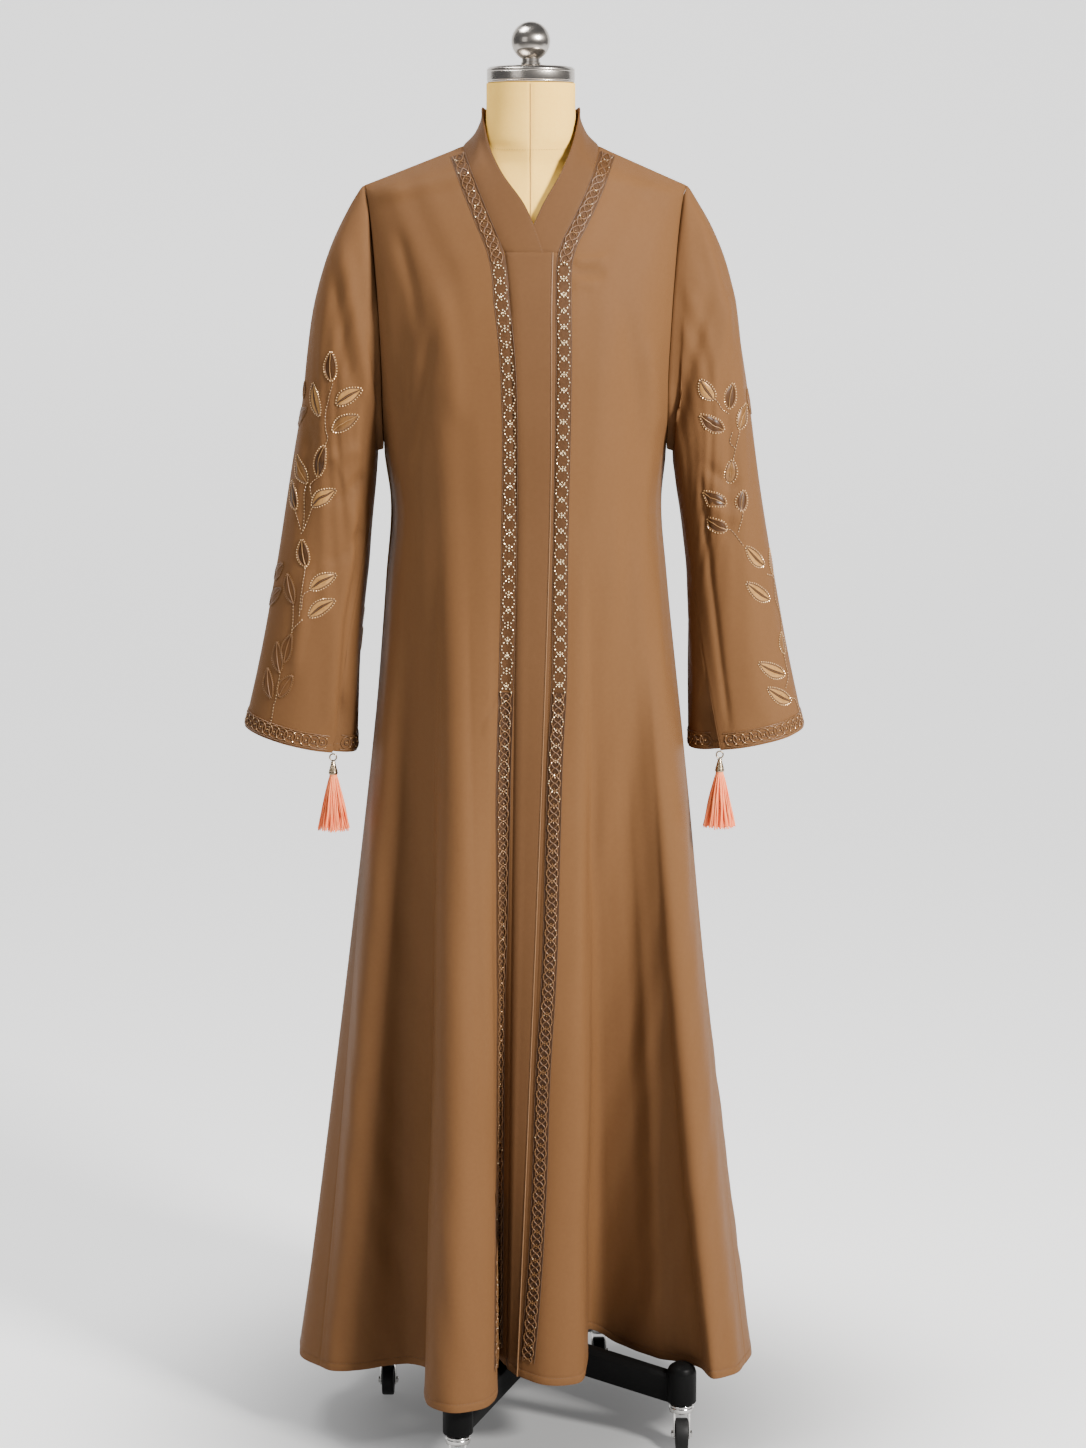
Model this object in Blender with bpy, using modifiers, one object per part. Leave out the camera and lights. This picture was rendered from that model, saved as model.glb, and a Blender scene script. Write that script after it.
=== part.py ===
"""Abaya cloak on a dress form stand: an open-front cloak, closed, on a limbless form with a four-leg base.

Metres, +X to the viewer's right (the wearer's left), the viewer on -Y, +Z up, floor at z = 0. Every size
is measured from the pole's axis. The stand_axis empty puts that axis beside the origin, so that the
origin lies under the middle of the whole.
"""

import math
from collections import namedtuple

import bmesh
import bpy
import numpy as np

NAME = "abaya_cloak_on_form"
AXIS_X = 0.00775
AXIS_Y = -0.0115

# Cloth
WALL = 0.0018
SEAM_GAP = 0.0003
WAIST_Z = 1.150
NECK_POINT_Z = 1.558
NECK_POINT_X = 0.079
TIP_Z = 1.513
SHOULDER_RUN = 0.110
FOLD_GROWTH = 1.5
FLARE_GROWTH = 1.15
ARMHOLE_INSET = 0.010
BACK_ROW_CURVE = 1.5
MITRE_TRIM = 0.00003
AXIS_DROP = 0.05

# The cloth's sections: half widths to either side, depths to front and back, superellipse power
Section = namedtuple("Section", "z left right front back power")
CLOTH_SECTIONS = (
    Section(1.625, 0.0570, 0.0570, 0.0570, 0.0570, 2.00),
    Section(1.590, 0.0575, 0.0575, 0.0575, 0.0580, 2.00),
    Section(1.572, 0.0640, 0.0640, 0.0580, 0.0610, 1.95),
    Section(1.558, 0.0790, 0.0790, 0.0590, 0.0640, 1.80),
    Section(1.540, 0.1254, 0.1202, 0.0640, 0.0710, 1.60),
    Section(1.513, 0.1950, 0.1820, 0.0750, 0.0840, 1.50),
    Section(1.470, 0.1940, 0.1810, 0.0930, 0.1000, 1.80),
    Section(1.420, 0.1910, 0.1780, 0.1100, 0.1080, 2.10),
    Section(1.360, 0.1860, 0.1730, 0.1260, 0.1120, 2.30),
    Section(1.300, 0.1810, 0.1670, 0.1310, 0.1120, 2.40),
    Section(1.205, 0.1740, 0.1600, 0.1310, 0.1120, 2.40),
    Section(1.150, 0.1670, 0.1550, 0.1290, 0.1120, 2.40),
)

# Rows of the grid from the shoulder seam to the underarm: heights at the front edge, armhole and back
UpperRow = namedtuple("UpperRow", "front armhole back")
UPPER_ROWS = (
    UpperRow(1.558, 1.5130, 1.5480),
    UpperRow(1.535, 1.5020, 1.5280),
    UpperRow(1.510, 1.4830, 1.5000),
    UpperRow(1.484, 1.4560, 1.4680),
    UpperRow(1.460, 1.4240, 1.4340),
    UpperRow(1.437, 1.3870, 1.3980),
    UpperRow(1.384, 1.3430, 1.3520),
    UpperRow(1.325, 1.2970, 1.3040),
    UpperRow(1.265, 1.2510, 1.2540),
    UpperRow(1.205, 1.2050, 1.2050),
)
NECKLINE_ROWS = 5

# Where the neckband and the placket are sewn to each front, and the band's free edge, by height
EdgeRow = namedtuple("EdgeRow", "z right_seam left_seam over_edge under_edge")
FRONT_EDGES = (
    EdgeRow(1.558, -0.079, 0.079, -0.0560, 0.0560),
    EdgeRow(1.523, -0.069, 0.071, -0.0400, 0.0400),
    EdgeRow(1.484, -0.053, 0.054, -0.0060, 0.0130),
    EdgeRow(1.456, -0.041, 0.041, 0.0080, -0.0020),
    EdgeRow(1.437, -0.030, 0.031, 0.0150, -0.0120),
    EdgeRow(1.384, -0.024, 0.029, 0.0230, -0.0140),
    EdgeRow(1.205, -0.018, 0.028, 0.0245, -0.0090),
    EdgeRow(1.150, -0.017, 0.027, 0.0245, -0.0080),
)
BAND_TOP_Z = 1.600

# Fold lines that run down the cloth: share of the waist section, and the place at the hem
Fold = namedtuple("Fold", "name waist x y z")
RIGHT_FRONT_FOLDS = (
    Fold("placket seam", 0.000, -0.031, -0.108, 0.110),
    Fold("valley", 0.050, -0.044, -0.088, 0.115),
    Fold("inner flank", 0.110, -0.047, -0.106, 0.115),
    Fold("outer flank", 0.170, -0.044, -0.134, 0.112),
    Fold("tube right turn", 0.225, -0.040, -0.168, 0.098),
    Fold("tube right", 0.280, -0.048, -0.193, 0.095),
    Fold("tube crest", 0.335, -0.067, -0.211, 0.095),
    Fold("tube front", 0.390, -0.092, -0.217, 0.095),
    Fold("tube left", 0.445, -0.119, -0.198, 0.095),
    Fold("tube left turn", 0.495, -0.127, -0.172, 0.095),
    Fold("tube flank", 0.545, -0.126, -0.125, 0.095),
    Fold("fold root", 0.595, -0.126, -0.080, 0.095),
    Fold("flat inner", 0.660, -0.149, -0.064, 0.095),
    Fold("flat outer", 0.730, -0.173, -0.069, 0.095),
    Fold("ridge inner", 0.810, -0.207, -0.084, 0.095),
    Fold("ridge outer", 0.900, -0.236, -0.087, 0.095),
    Fold("side seam", 1.000, -0.259, -0.071, 0.095),
)
LEFT_FRONT_FOLDS = (
    Fold("placket seam", 0.000, -0.0135, -0.124, 0.102),
    Fold("tube left", 0.070, 0.015, -0.136, 0.097),
    Fold("tube front", 0.135, 0.043, -0.132, 0.095),
    Fold("tube right", 0.190, 0.061, -0.119, 0.095),
    Fold("tube turn", 0.235, 0.067, -0.096, 0.102),
    Fold("flank", 0.280, 0.069, -0.050, 0.119),
    Fold("flank end", 0.325, 0.070, -0.010, 0.119),
    Fold("recess root", 0.375, 0.084, 0.008, 0.108),
    Fold("recess", 0.435, 0.104, 0.002, 0.097),
    Fold("recess slope", 0.510, 0.131, -0.023, 0.095),
    Fold("ridge foot", 0.590, 0.158, -0.048, 0.095),
    Fold("behind the post", 0.660, 0.181, -0.057, 0.095),
    Fold("beside the post", 0.725, 0.206, -0.078, 0.095),
    Fold("ridge", 0.790, 0.217, -0.112, 0.095),
    Fold("ridge right", 0.865, 0.240, -0.101, 0.095),
    Fold("side seam", 1.000, 0.262, -0.062, 0.095),
)
BACK_FOLDS = (
    Fold("right side seam", -1.00, -0.259, -0.071, 0.095),
    Fold("right side turn", -0.975, -0.284, -0.038, 0.095),
    Fold("right side", -0.935, -0.288, 0.006, 0.095),
    Fold("right back turn", -0.880, -0.281, 0.056, 0.095),
    Fold("first valley", -0.810, -0.252, 0.098, 0.095),
    Fold("first ridge", -0.730, -0.238, 0.146, 0.095),
    Fold("first ridge end", -0.640, -0.205, 0.170, 0.095),
    Fold("second valley", -0.540, -0.165, 0.172, 0.095),
    Fold("second ridge", -0.440, -0.138, 0.216, 0.095),
    Fold("second ridge end", -0.330, -0.098, 0.228, 0.095),
    Fold("third valley", -0.220, -0.064, 0.204, 0.095),
    Fold("third ridge", -0.110, -0.034, 0.236, 0.095),
    Fold("third ridge end", 0.000, 0.004, 0.240, 0.095),
    Fold("fourth valley", 0.110, 0.040, 0.212, 0.095),
    Fold("fourth ridge", 0.220, 0.074, 0.238, 0.095),
    Fold("fourth ridge end", 0.330, 0.112, 0.234, 0.095),
    Fold("fifth valley", 0.440, 0.142, 0.200, 0.095),
    Fold("fifth ridge", 0.540, 0.180, 0.206, 0.095),
    Fold("fifth ridge end", 0.640, 0.212, 0.180, 0.095),
    Fold("sixth valley", 0.730, 0.222, 0.136, 0.095),
    Fold("sixth ridge", 0.810, 0.254, 0.112, 0.095),
    Fold("left back turn", 0.880, 0.268, 0.066, 0.095),
    Fold("left side", 0.935, 0.272, 0.018, 0.095),
    Fold("left side turn", 0.975, 0.271, -0.028, 0.095),
    Fold("left side seam", 1.00, 0.262, -0.062, 0.095),
)
BACK_NECK_COLUMNS = (8, 16)
SKIRT_LEVELS = (0.090, 0.180, 0.275, 0.370, 0.465, 0.560, 0.650, 0.740, 0.820, 0.890, 0.950, 1.0)

# Placket: the over side is sewn to the right front, its free edge covers the under side
PLACKET_TURN = 0.006
PLACKET_COLUMNS = 4
OVER_SHARE = 0.92
UNDER_SHARE = 0.24
UNDER_TURN = 1.35
OVER_LIFT = WALL + 2 * SEAM_GAP
BAND_COLUMNS = 4
BAND_RISE = 0.040
BAND_RISE_POWER = 1.6
BAND_RISE_LEAN = 0.3

# Sleeves: outer and inner edges from armhole to cuff, half depths front and back
SleeveRow = namedtuple("SleeveRow", "share outer_x outer_z inner_x inner_z depth seam_turn")
RIGHT_SLEEVE = (
    SleeveRow(0.00, -0.195, 1.513, -0.174, 1.205, 0.060, 0),
    SleeveRow(0.06, -0.222, 1.484, -0.178, 1.190, 0.062, 5),
    SleeveRow(0.14, -0.241, 1.436, -0.182, 1.168, 0.060, 12),
    SleeveRow(0.25, -0.257, 1.362, -0.187, 1.130, 0.056, 20),
    SleeveRow(0.40, -0.270, 1.262, -0.192, 1.075, 0.054, 28),
    SleeveRow(0.55, -0.286, 1.165, -0.199, 1.020, 0.054, 35),
    SleeveRow(0.70, -0.302, 1.072, -0.204, 0.968, 0.055, 42),
    SleeveRow(0.85, -0.322, 0.972, -0.206, 0.912, 0.056, 48),
    SleeveRow(1.00, -0.343, 0.880, -0.208, 0.857, 0.057, 53),
)
LEFT_SLEEVE = (
    SleeveRow(0.00, 0.182, 1.513, 0.160, 1.205, 0.060, 0),
    SleeveRow(0.06, 0.205, 1.486, 0.164, 1.188, 0.062, 5),
    SleeveRow(0.14, 0.225, 1.442, 0.170, 1.164, 0.060, 12),
    SleeveRow(0.25, 0.241, 1.372, 0.178, 1.124, 0.056, 20),
    SleeveRow(0.40, 0.256, 1.272, 0.184, 1.070, 0.054, 28),
    SleeveRow(0.55, 0.270, 1.170, 0.186, 1.018, 0.054, 36),
    SleeveRow(0.70, 0.286, 1.075, 0.187, 0.966, 0.055, 45),
    SleeveRow(0.85, 0.306, 0.968, 0.188, 0.912, 0.056, 54),
    SleeveRow(1.00, 0.327, 0.879, 0.189, 0.861, 0.057, 60),
)
SLEEVE_LEVELS = (0.04, 0.10, 0.16, 0.23, 0.31, 0.40, 0.49, 0.58, 0.67, 0.76, 0.82, 0.88, 0.94, 1.0)
SLEEVE_JOIN = 0.20
UNDERARM_STANDOFF = 0.007
UNDERARM_EASE = 0.03
CUFF_DROP = 0.012
SLIT_SHARE = 0.78
SLIT_DEPTH = 0.012

# Form: smooth plain torso with its neck, flat base
FORM_SECTIONS = (
    Section(1.6285, 0.0515, 0.0515, 0.0515, 0.0515, 2.0),
    Section(1.600, 0.0515, 0.0515, 0.0515, 0.0520, 2.0),
    Section(1.580, 0.0530, 0.0530, 0.0530, 0.0540, 2.0),
    Section(1.566, 0.0560, 0.0560, 0.0535, 0.0545, 2.0),
    Section(1.554, 0.0680, 0.0680, 0.0545, 0.0550, 1.5),
    Section(1.540, 0.1186, 0.1139, 0.0540, 0.0540, 1.1),
    Section(1.525, 0.1573, 0.1483, 0.0580, 0.0590, 1.1),
    Section(1.508, 0.1720, 0.1610, 0.0650, 0.0720, 1.3),
    Section(1.480, 0.1750, 0.1640, 0.0780, 0.0860, 1.8),
    Section(1.430, 0.1740, 0.1640, 0.0960, 0.0960, 2.0),
    Section(1.370, 0.1680, 0.1580, 0.1150, 0.1000, 2.2),
    Section(1.310, 0.1600, 0.1520, 0.1180, 0.0960, 2.2),
    Section(1.230, 0.1460, 0.1400, 0.1000, 0.0860, 2.1),
    Section(1.150, 0.1350, 0.1300, 0.0900, 0.0820, 2.0),
    Section(1.060, 0.1430, 0.1390, 0.0950, 0.0920, 2.0),
    Section(0.960, 0.1560, 0.1520, 0.1010, 0.1040, 2.0),
    Section(0.900, 0.1520, 0.1480, 0.0980, 0.1020, 2.0),
    Section(0.880, 0.1300, 0.1260, 0.0820, 0.0860, 2.0),
)
FORM_SIDES = 30

# Metal neck cap, ball finial, pole and base; a turned profile is (radius, height) from the top down
CAP_PROFILE = ((0.0, 1.6485), (0.0480, 1.6470), (0.0510, 1.6440), (0.0510, 1.6310), (0.0500, 1.6290), (0.0, 1.6290))
CAP_SIDES = 28
FINIAL_STEM_R = 0.0105
FINIAL_STEM_FOOT = 1.6489
BALL_R = 0.0225
BALL_Z = 1.6765
BALL_STEPS = 9
ROUND_SIDES = 18
POLE_R = 0.0125
HUB_PROFILE = ((0.0, 0.122), (0.020, 0.122), (0.030, 0.116), (0.030, 0.069), (0.027, 0.066), (0.0, 0.066))
LEG_REACH = 0.202
LEG_ANGLE = math.radians(25.4)
LEG_COUNT = 4
ArmEnd = namedtuple("ArmEnd", "reach bottom top half_width half_ridge")
RIDGE_SLOPE = 0.8
ARM_ENDS = (ArmEnd(0.0303, 0.078, 0.1130, 0.0125, 0.0055), ArmEnd(0.190, 0.0565, 0.0915, 0.0115, 0.0050))
POST_PROFILE = (
    (0.0, 0.1070),
    (0.0090, 0.1055),
    (0.0155, 0.1010),
    (0.0180, 0.0950),
    (0.0180, 0.0575),
    (0.0165, 0.0560),
    (0.0, 0.0560),
)

# Caster: a fork that swivels round the post's axis and a wheel that trails it
CASTER_TRAIL = 0.010
HEAD_PROFILE = ((0.0, 0.0557), (0.0120, 0.0557), (0.0150, 0.0537), (0.0150, 0.0440), (0.0, 0.0440))
HEAD_BOTTOM = HEAD_PROFILE[-1][1]
WHEEL_R = 0.0190
WHEEL_EDGE = 0.0015
WHEEL_HALF_WIDTH = 0.0075
WHEEL_SIDES = 20
BORE_R = 0.0030
AXLE_R = 0.0026
PLATE_INNER = 0.0079
PLATE_THICK = 0.0022
PLATE_HALF_TOP = 0.0115
PLATE_TIP_R = 0.0065
NUT_R = 0.0045
NUT_LENGTH = 0.0030

# Tassels: ring, cone cap and a skirt of strands at the lowest corner of each cuff
RING_R = 0.0040
RING_WIRE = 0.0009
CAP_TOP_R = 0.0026
CAP_FOOT_R = 0.0056
CAP_LENGTH = 0.0150
CORE_R = 0.0046
CORE_LENGTH = 0.0090
STRAND_LENGTH = 0.0670
STRAND_ROOT_R = 0.00050
STRAND_R = 0.00100
STRAND_SPREAD = 0.0130
StrandRing = namedtuple("StrandRing", "count root spread")
STRAND_RINGS = (StrandRing(17, 0.0036, 1.0), StrandRing(10, 0.0023, 0.66), StrandRing(4, 0.0010, 0.33))
STRAND_LEVELS = (0.0, 0.35, 1.0)

Paint = namedtuple("Paint", "colour roughness metallic")
PAINTS = {
    "cloak_satin": Paint((0.42, 0.23, 0.11, 1.0), 0.42, 0.0),
    "band_satin": Paint((0.32, 0.18, 0.09, 1.0), 0.45, 0.0),
    "form_cover": Paint((0.80, 0.67, 0.47, 1.0), 0.90, 0.0),
    "brushed_steel": Paint((0.58, 0.57, 0.55, 1.0), 0.30, 1.0),
    "black_paint": Paint((0.02, 0.02, 0.02, 1.0), 0.45, 0.0),
    "wheel_rubber": Paint((0.03, 0.03, 0.03, 1.0), 0.70, 0.0),
    "tassel_thread": Paint((0.85, 0.42, 0.27, 1.0), 0.70, 0.0),
    "tassel_metal": Paint((0.70, 0.55, 0.30, 1.0), 0.30, 1.0),
}
SMOOTH_ANGLE = math.radians(32)


def reset():
    """Empty the file; make the part's collection, the tools' collection, the axis and the materials."""
    for ob in list(bpy.data.objects):
        bpy.data.objects.remove(ob, do_unlink=True)
    for name in (NAME, NAME + "_tools"):
        bpy.context.scene.collection.children.link(bpy.data.collections.new(name))
    for name, paint in PAINTS.items():
        mat = bpy.data.materials.new(name)
        mat.use_nodes = True
        shader = mat.node_tree.nodes["Principled BSDF"]
        shader.inputs["Base Color"].default_value = paint.colour
        shader.inputs["Roughness"].default_value = paint.roughness
        shader.inputs["Metallic"].default_value = paint.metallic
        mat.diffuse_color = paint.colour
    axis = bpy.data.objects.new("stand_axis", None)
    axis.location = (AXIS_X, AXIS_Y, 0.0)
    bpy.data.collections[NAME].objects.link(axis)


def place(name, mesh, material, location=(0.0, 0.0, 0.0), tool=False):
    """Add an object on the stand's axis; a tool shapes another object and is no node."""
    mesh.materials.append(bpy.data.materials[material])
    ob = bpy.data.objects.new(name, mesh)
    ob.parent = bpy.data.objects["stand_axis"]
    ob.location = location
    ob.hide_render = tool
    ob.display_type = "WIRE" if tool else "TEXTURED"
    bpy.data.collections[NAME + "_tools" if tool else NAME].objects.link(ob)
    return ob


def mesh_from(name, verts, faces):
    """A mesh with its faces turned outward."""
    mesh = bpy.data.meshes.new(name)
    mesh.from_pydata([tuple(map(float, v)) for v in verts], [], faces)
    bm = bmesh.new()
    bm.from_mesh(mesh)
    bmesh.ops.recalc_face_normals(bm, faces=bm.faces)
    bmesh.ops.triangulate(bm, faces=[f for f in bm.faces if len(f.verts) == 4])
    bm.to_mesh(mesh)
    bm.free()
    mesh.shade_smooth()
    mesh.set_sharp_from_angle(angle=SMOOTH_ANGLE)
    return mesh


def turned(name, profile, sides, material, location=(0.0, 0.0, 0.0), tool=False, half_step=False):
    """A profile turned round its own Z axis with a Screw modifier."""
    mesh = bpy.data.meshes.new(name)
    lead = math.pi / sides if half_step else 0.0
    verts = [(r * math.cos(lead), r * math.sin(lead), z) for r, z in profile]
    edges = [(i, i + 1) for i in range(len(profile) - 1)]
    if profile[0][0] > 0.0:
        edges.append((len(profile) - 1, 0))
    mesh.from_pydata(verts, edges, [])
    ob = place(name, mesh, material, location, tool)
    screw = ob.modifiers.new("turn", "SCREW")
    screw.steps = screw.render_steps = sides
    screw.use_merge_vertices = True
    screw.merge_threshold = 0.00001
    return ob


def join(ob, tools):
    """Join overlapping tools to an object."""
    for tool in tools:
        union = ob.modifiers.new("join " + tool.name, "BOOLEAN")
        union.operation = "UNION"
        union.solver = "EXACT"
        union.object = tool


def smooth(t):
    """Ease from 0 to 1."""
    t = min(max(t, 0.0), 1.0)
    return t * t * (3 - 2 * t)


def section_at(table, z):
    """One section of a table, worked out for height z."""
    heights = [s.z for s in table][::-1]
    columns = list(zip(*table))[1:]
    return Section(z, *(float(np.interp(z, heights, c[::-1])) for c in columns))


def surface_point(table, x, z, side):
    """The point of the surface at x and z; side is -1 for the front and +1 for the back."""
    s = section_at(table, z)
    half = s.left if x < 0 else s.right
    x = max(-s.left, min(s.right, x))
    rest = max(0.0, 1.0 - (abs(x) / half) ** s.power)
    depth = s.front if side < 0 else s.back
    return np.array([x, side * depth * rest ** (1.0 / s.power), z])


def edge_x(column, z):
    """Where a front edge of the table lies at height z."""
    heights = [e.z for e in FRONT_EDGES][::-1]
    return float(np.interp(z, heights, [getattr(e, column) for e in FRONT_EDGES][::-1]))


def armhole_point(hand, row, side):
    """Point of the armhole on a grid row; hand is -1 at the viewer's left."""
    z = UPPER_ROWS[row].armhole
    s = section_at(CLOTH_SECTIONS, z)
    half = s.left if hand < 0 else s.right
    share = row / (len(UPPER_ROWS) - 1)
    inset = ARMHOLE_INSET * math.sin(math.pi * share)
    if row == 0 or row == len(UPPER_ROWS) - 1:
        return np.array([hand * half, 0.0, z])
    return surface_point(CLOTH_SECTIONS, hand * (half - inset), z, side)


def front_upper(hand, folds):
    """Rows of the front above the underarm."""
    seam = "right_seam" if hand < 0 else "left_seam"
    last = len(UPPER_ROWS) - 1
    grid = []
    for j, row in enumerate(UPPER_ROWS):
        arm = armhole_point(hand, j, -1)
        x0, z0 = edge_x(seam, row.front), row.front
        if j == 0:
            x0 = hand * NECK_POINT_X
        line = []
        for k, fold in enumerate(folds):
            even = k / (len(folds) - 1)
            share = even + (fold.waist - even) * smooth(j / last)
            x, z = x0 + (arm[0] - x0) * share, z0 + (arm[2] - z0) * share
            if j == 0:
                line.append(np.array([x, 0.0, z]))
            elif k == len(folds) - 1:
                line.append(arm)
            else:
                line.append(surface_point(CLOTH_SECTIONS, x, z, -1))
        grid.append(line)
    return grid


def back_upper():
    """Rows of the back above the underarm, from the right armhole to the left one."""
    last = len(UPPER_ROWS) - 1
    first, second = BACK_NECK_COLUMNS
    count = len(BACK_FOLDS) - 1
    grid = []
    for j, row in enumerate(UPPER_ROWS):
        arms = {-1: armhole_point(-1, j, 1), 1: armhole_point(1, j, 1)}
        line = []
        for k, fold in enumerate(BACK_FOLDS):
            hand = -1 if k < count / 2 else 1
            arm = arms[hand]
            if first <= k <= second:
                turn = (k - (first + second) / 2) / ((second - first) / 2)
                top = NECK_POINT_X / abs(arms[hand][0]) * math.sin(turn * math.pi / 2)
            elif k < first:
                top = -1 + (1 - NECK_POINT_X / abs(arm[0])) * k / first
            else:
                top = 1 - (1 - NECK_POINT_X / abs(arm[0])) * (count - k) / (count - second)
            share = top + (fold.waist - top) * smooth(j / last)
            x = abs(arm[0]) * share
            if j == 0:
                outer = max(0.0, (abs(x) - NECK_POINT_X) / (abs(arm[0]) - NECK_POINT_X))
                if first <= k <= second:
                    ride = 1 - (abs(x) / NECK_POINT_X) ** 2
                    z = NECK_POINT_Z - (NECK_POINT_Z - row.back) * ride
                    y = section_at(CLOTH_SECTIONS, row.back).back * math.sqrt(max(0.0, ride))
                    line.append(np.array([x, y, z]))
                else:
                    z = NECK_POINT_Z + (TIP_Z - NECK_POINT_Z) * outer
                    line.append(np.array([x, 0.0, z]))
                continue
            if k in (0, count):
                line.append(arm)
                continue
            z = row.back + (row.armhole - row.back) * abs(share) ** BACK_ROW_CURVE
            line.append(surface_point(CLOTH_SECTIONS, x, z, 1))
        grid.append(line)
    return grid


def waist_point(share, hand, side, z, x0):
    """Point of a level section between the front edge and the side seam."""
    s = section_at(CLOTH_SECTIONS, z)
    half = s.left if hand < 0 else s.right
    x = x0 + (hand * half - x0) * share
    return surface_point(CLOTH_SECTIONS, x, z, side)


def skirt_rows(folds, hand, side, levels):
    """Rows from the waist to the hem, where each fold line runs to its own place."""
    grid = []
    for level in levels:
        line = []
        for fold in folds:
            toward = hand if hand else (-1 if fold.waist < 0 else 1)
            x0 = 0.0 if side > 0 else edge_x("right_seam" if hand < 0 else "left_seam", WAIST_Z)
            top = waist_point(abs(fold.waist), toward, side, WAIST_Z, x0)
            across = level**FLARE_GROWTH
            out = level**FOLD_GROWTH
            line.append(
                np.array(
                    [
                        top[0] + (fold.x - top[0]) * across,
                        top[1] + (fold.y - top[1]) * out,
                        WAIST_Z + (fold.z - WAIST_Z) * level,
                    ]
                )
            )
        grid.append(line)
    return grid


def waist_row(folds, hand, side):
    """The row at the waist."""
    x0 = 0.0 if side > 0 else edge_x("right_seam" if hand < 0 else "left_seam", WAIST_Z)
    return [
        waist_point(abs(f.waist), hand if hand else (-1 if f.waist < 0 else 1), side, WAIST_Z, x0)
        for f in folds
    ]


def front_grid(hand):
    """Outer points of one front, rows from shoulder to hem, columns from the edge to the side."""
    folds = RIGHT_FRONT_FOLDS if hand < 0 else LEFT_FRONT_FOLDS
    return np.array(
        front_upper(hand, folds)
        + [waist_row(folds, hand, -1)]
        + skirt_rows(folds, hand, -1, SKIRT_LEVELS)
    )


def back_grid():
    """Outer points of the back, columns from the right side seam to the left one."""
    return np.array(
        back_upper() + [waist_row(BACK_FOLDS, 0, 1)] + skirt_rows(BACK_FOLDS, 0, 1, SKIRT_LEVELS)
    )


def sleeve_row_at(rows, share):
    """A sleeve table's row worked out for any share of the length."""
    shares = [r.share for r in rows]
    columns = list(zip(*rows))[1:]
    return SleeveRow(share, *(float(np.interp(share, shares, c)) for c in columns))


def sleeve_grid(hand, front, back):
    """Outer points of a sleeve, rows from armhole to cuff, columns round from the underarm seam."""
    last = len(UPPER_ROWS) - 1
    back_column = 0 if hand < 0 else back.shape[1] - 1
    armhole = [back[j][back_column] for j in range(last, 0, -1)] + [front[j][-1] for j in range(last + 1)]
    rows = RIGHT_SLEEVE if hand < 0 else LEFT_SLEEVE
    grid = [armhole]
    count = len(armhole) - 1
    for share in SLEEVE_LEVELS:
        r = sleeve_row_at(rows, share)
        inner = np.array([r.inner_x, 0.0, r.inner_z])
        outer = np.array([r.outer_x, 0.0, r.outer_z])
        line = []
        for c in range(count + 1):
            around = 2 * math.pi * c / count - math.radians(r.seam_turn)
            middle = (inner + outer) / 2 + (inner - outer) / 2 * math.cos(around)
            depth = r.depth * math.sin(around)
            corner = around + math.radians(rows[-1].seam_turn)
            drop = CUFF_DROP * smooth(share) * (1 + math.cos(corner)) / 2
            point = middle + np.array([0.0, depth, -drop])
            weight = smooth(share / SLEEVE_JOIN)
            under = (1 + math.cos(2 * math.pi * c / count)) / 2
            clear = hand * UNDERARM_STANDOFF * smooth(share / UNDERARM_EASE) * under * (1 - weight)
            line.append(armhole[c] * (1 - weight) + point * weight + np.array([clear, 0.0, 0.0]))
        grid.append(line)
    grid = np.array(grid)
    for j, share in enumerate((0.0, *SLEEVE_LEVELS)):
        opening = smooth((share - SLIT_SHARE) / (1 - SLIT_SHARE) * 2)
        for c, part in ((0, 1.0), (1, 0.45)):
            grid[j][c] += np.array([0.0, SLIT_DEPTH * opening * part, 0.0])
    return grid


def placket_base(row, share, right, left):
    """Point between the two fronts' edges on a grid row, from the right front (0) to the left (1)."""
    seam, other = right[row][0], left[row][0]
    straight = seam + (other - seam) * share
    waist = len(UPPER_ROWS)
    if row <= waist:
        return surface_point(CLOTH_SECTIONS, straight[0], straight[2], -1)
    level = SKIRT_LEVELS[row - waist - 1]
    top = placket_base(waist, share, right, left)
    flat = right[waist][0] + (left[waist][0] - right[waist][0]) * share
    return straight + (top - flat) * (1 - level)


def placket_grids(right, left):
    """Outer points of the over and under plackets, from the neckband's foot to the hem."""
    over, under = [], []
    for row in range(NECKLINE_ROWS, right.shape[0]):
        span = left[row][0] - right[row][0]
        away = np.array([span[1], -span[0], 0.0]) / math.hypot(span[0], span[1])
        turn = PLACKET_TURN / float(np.linalg.norm(span))
        shares = [0.0, *np.linspace(turn, OVER_SHARE, PLACKET_COLUMNS)]
        lifts = [0.0] + [OVER_LIFT] * PLACKET_COLUMNS
        over.append(
            [
                placket_base(row, t, right, left) + away * lift
                for t, lift in zip(shares, lifts)
            ]
        )
        reach = max(UNDER_SHARE, turn * UNDER_TURN)
        under.append(
            [placket_base(row, t, right, left) for t in np.linspace(1.0, reach, PLACKET_COLUMNS + 1)]
        )
    return np.array(over), np.array(under)


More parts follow.
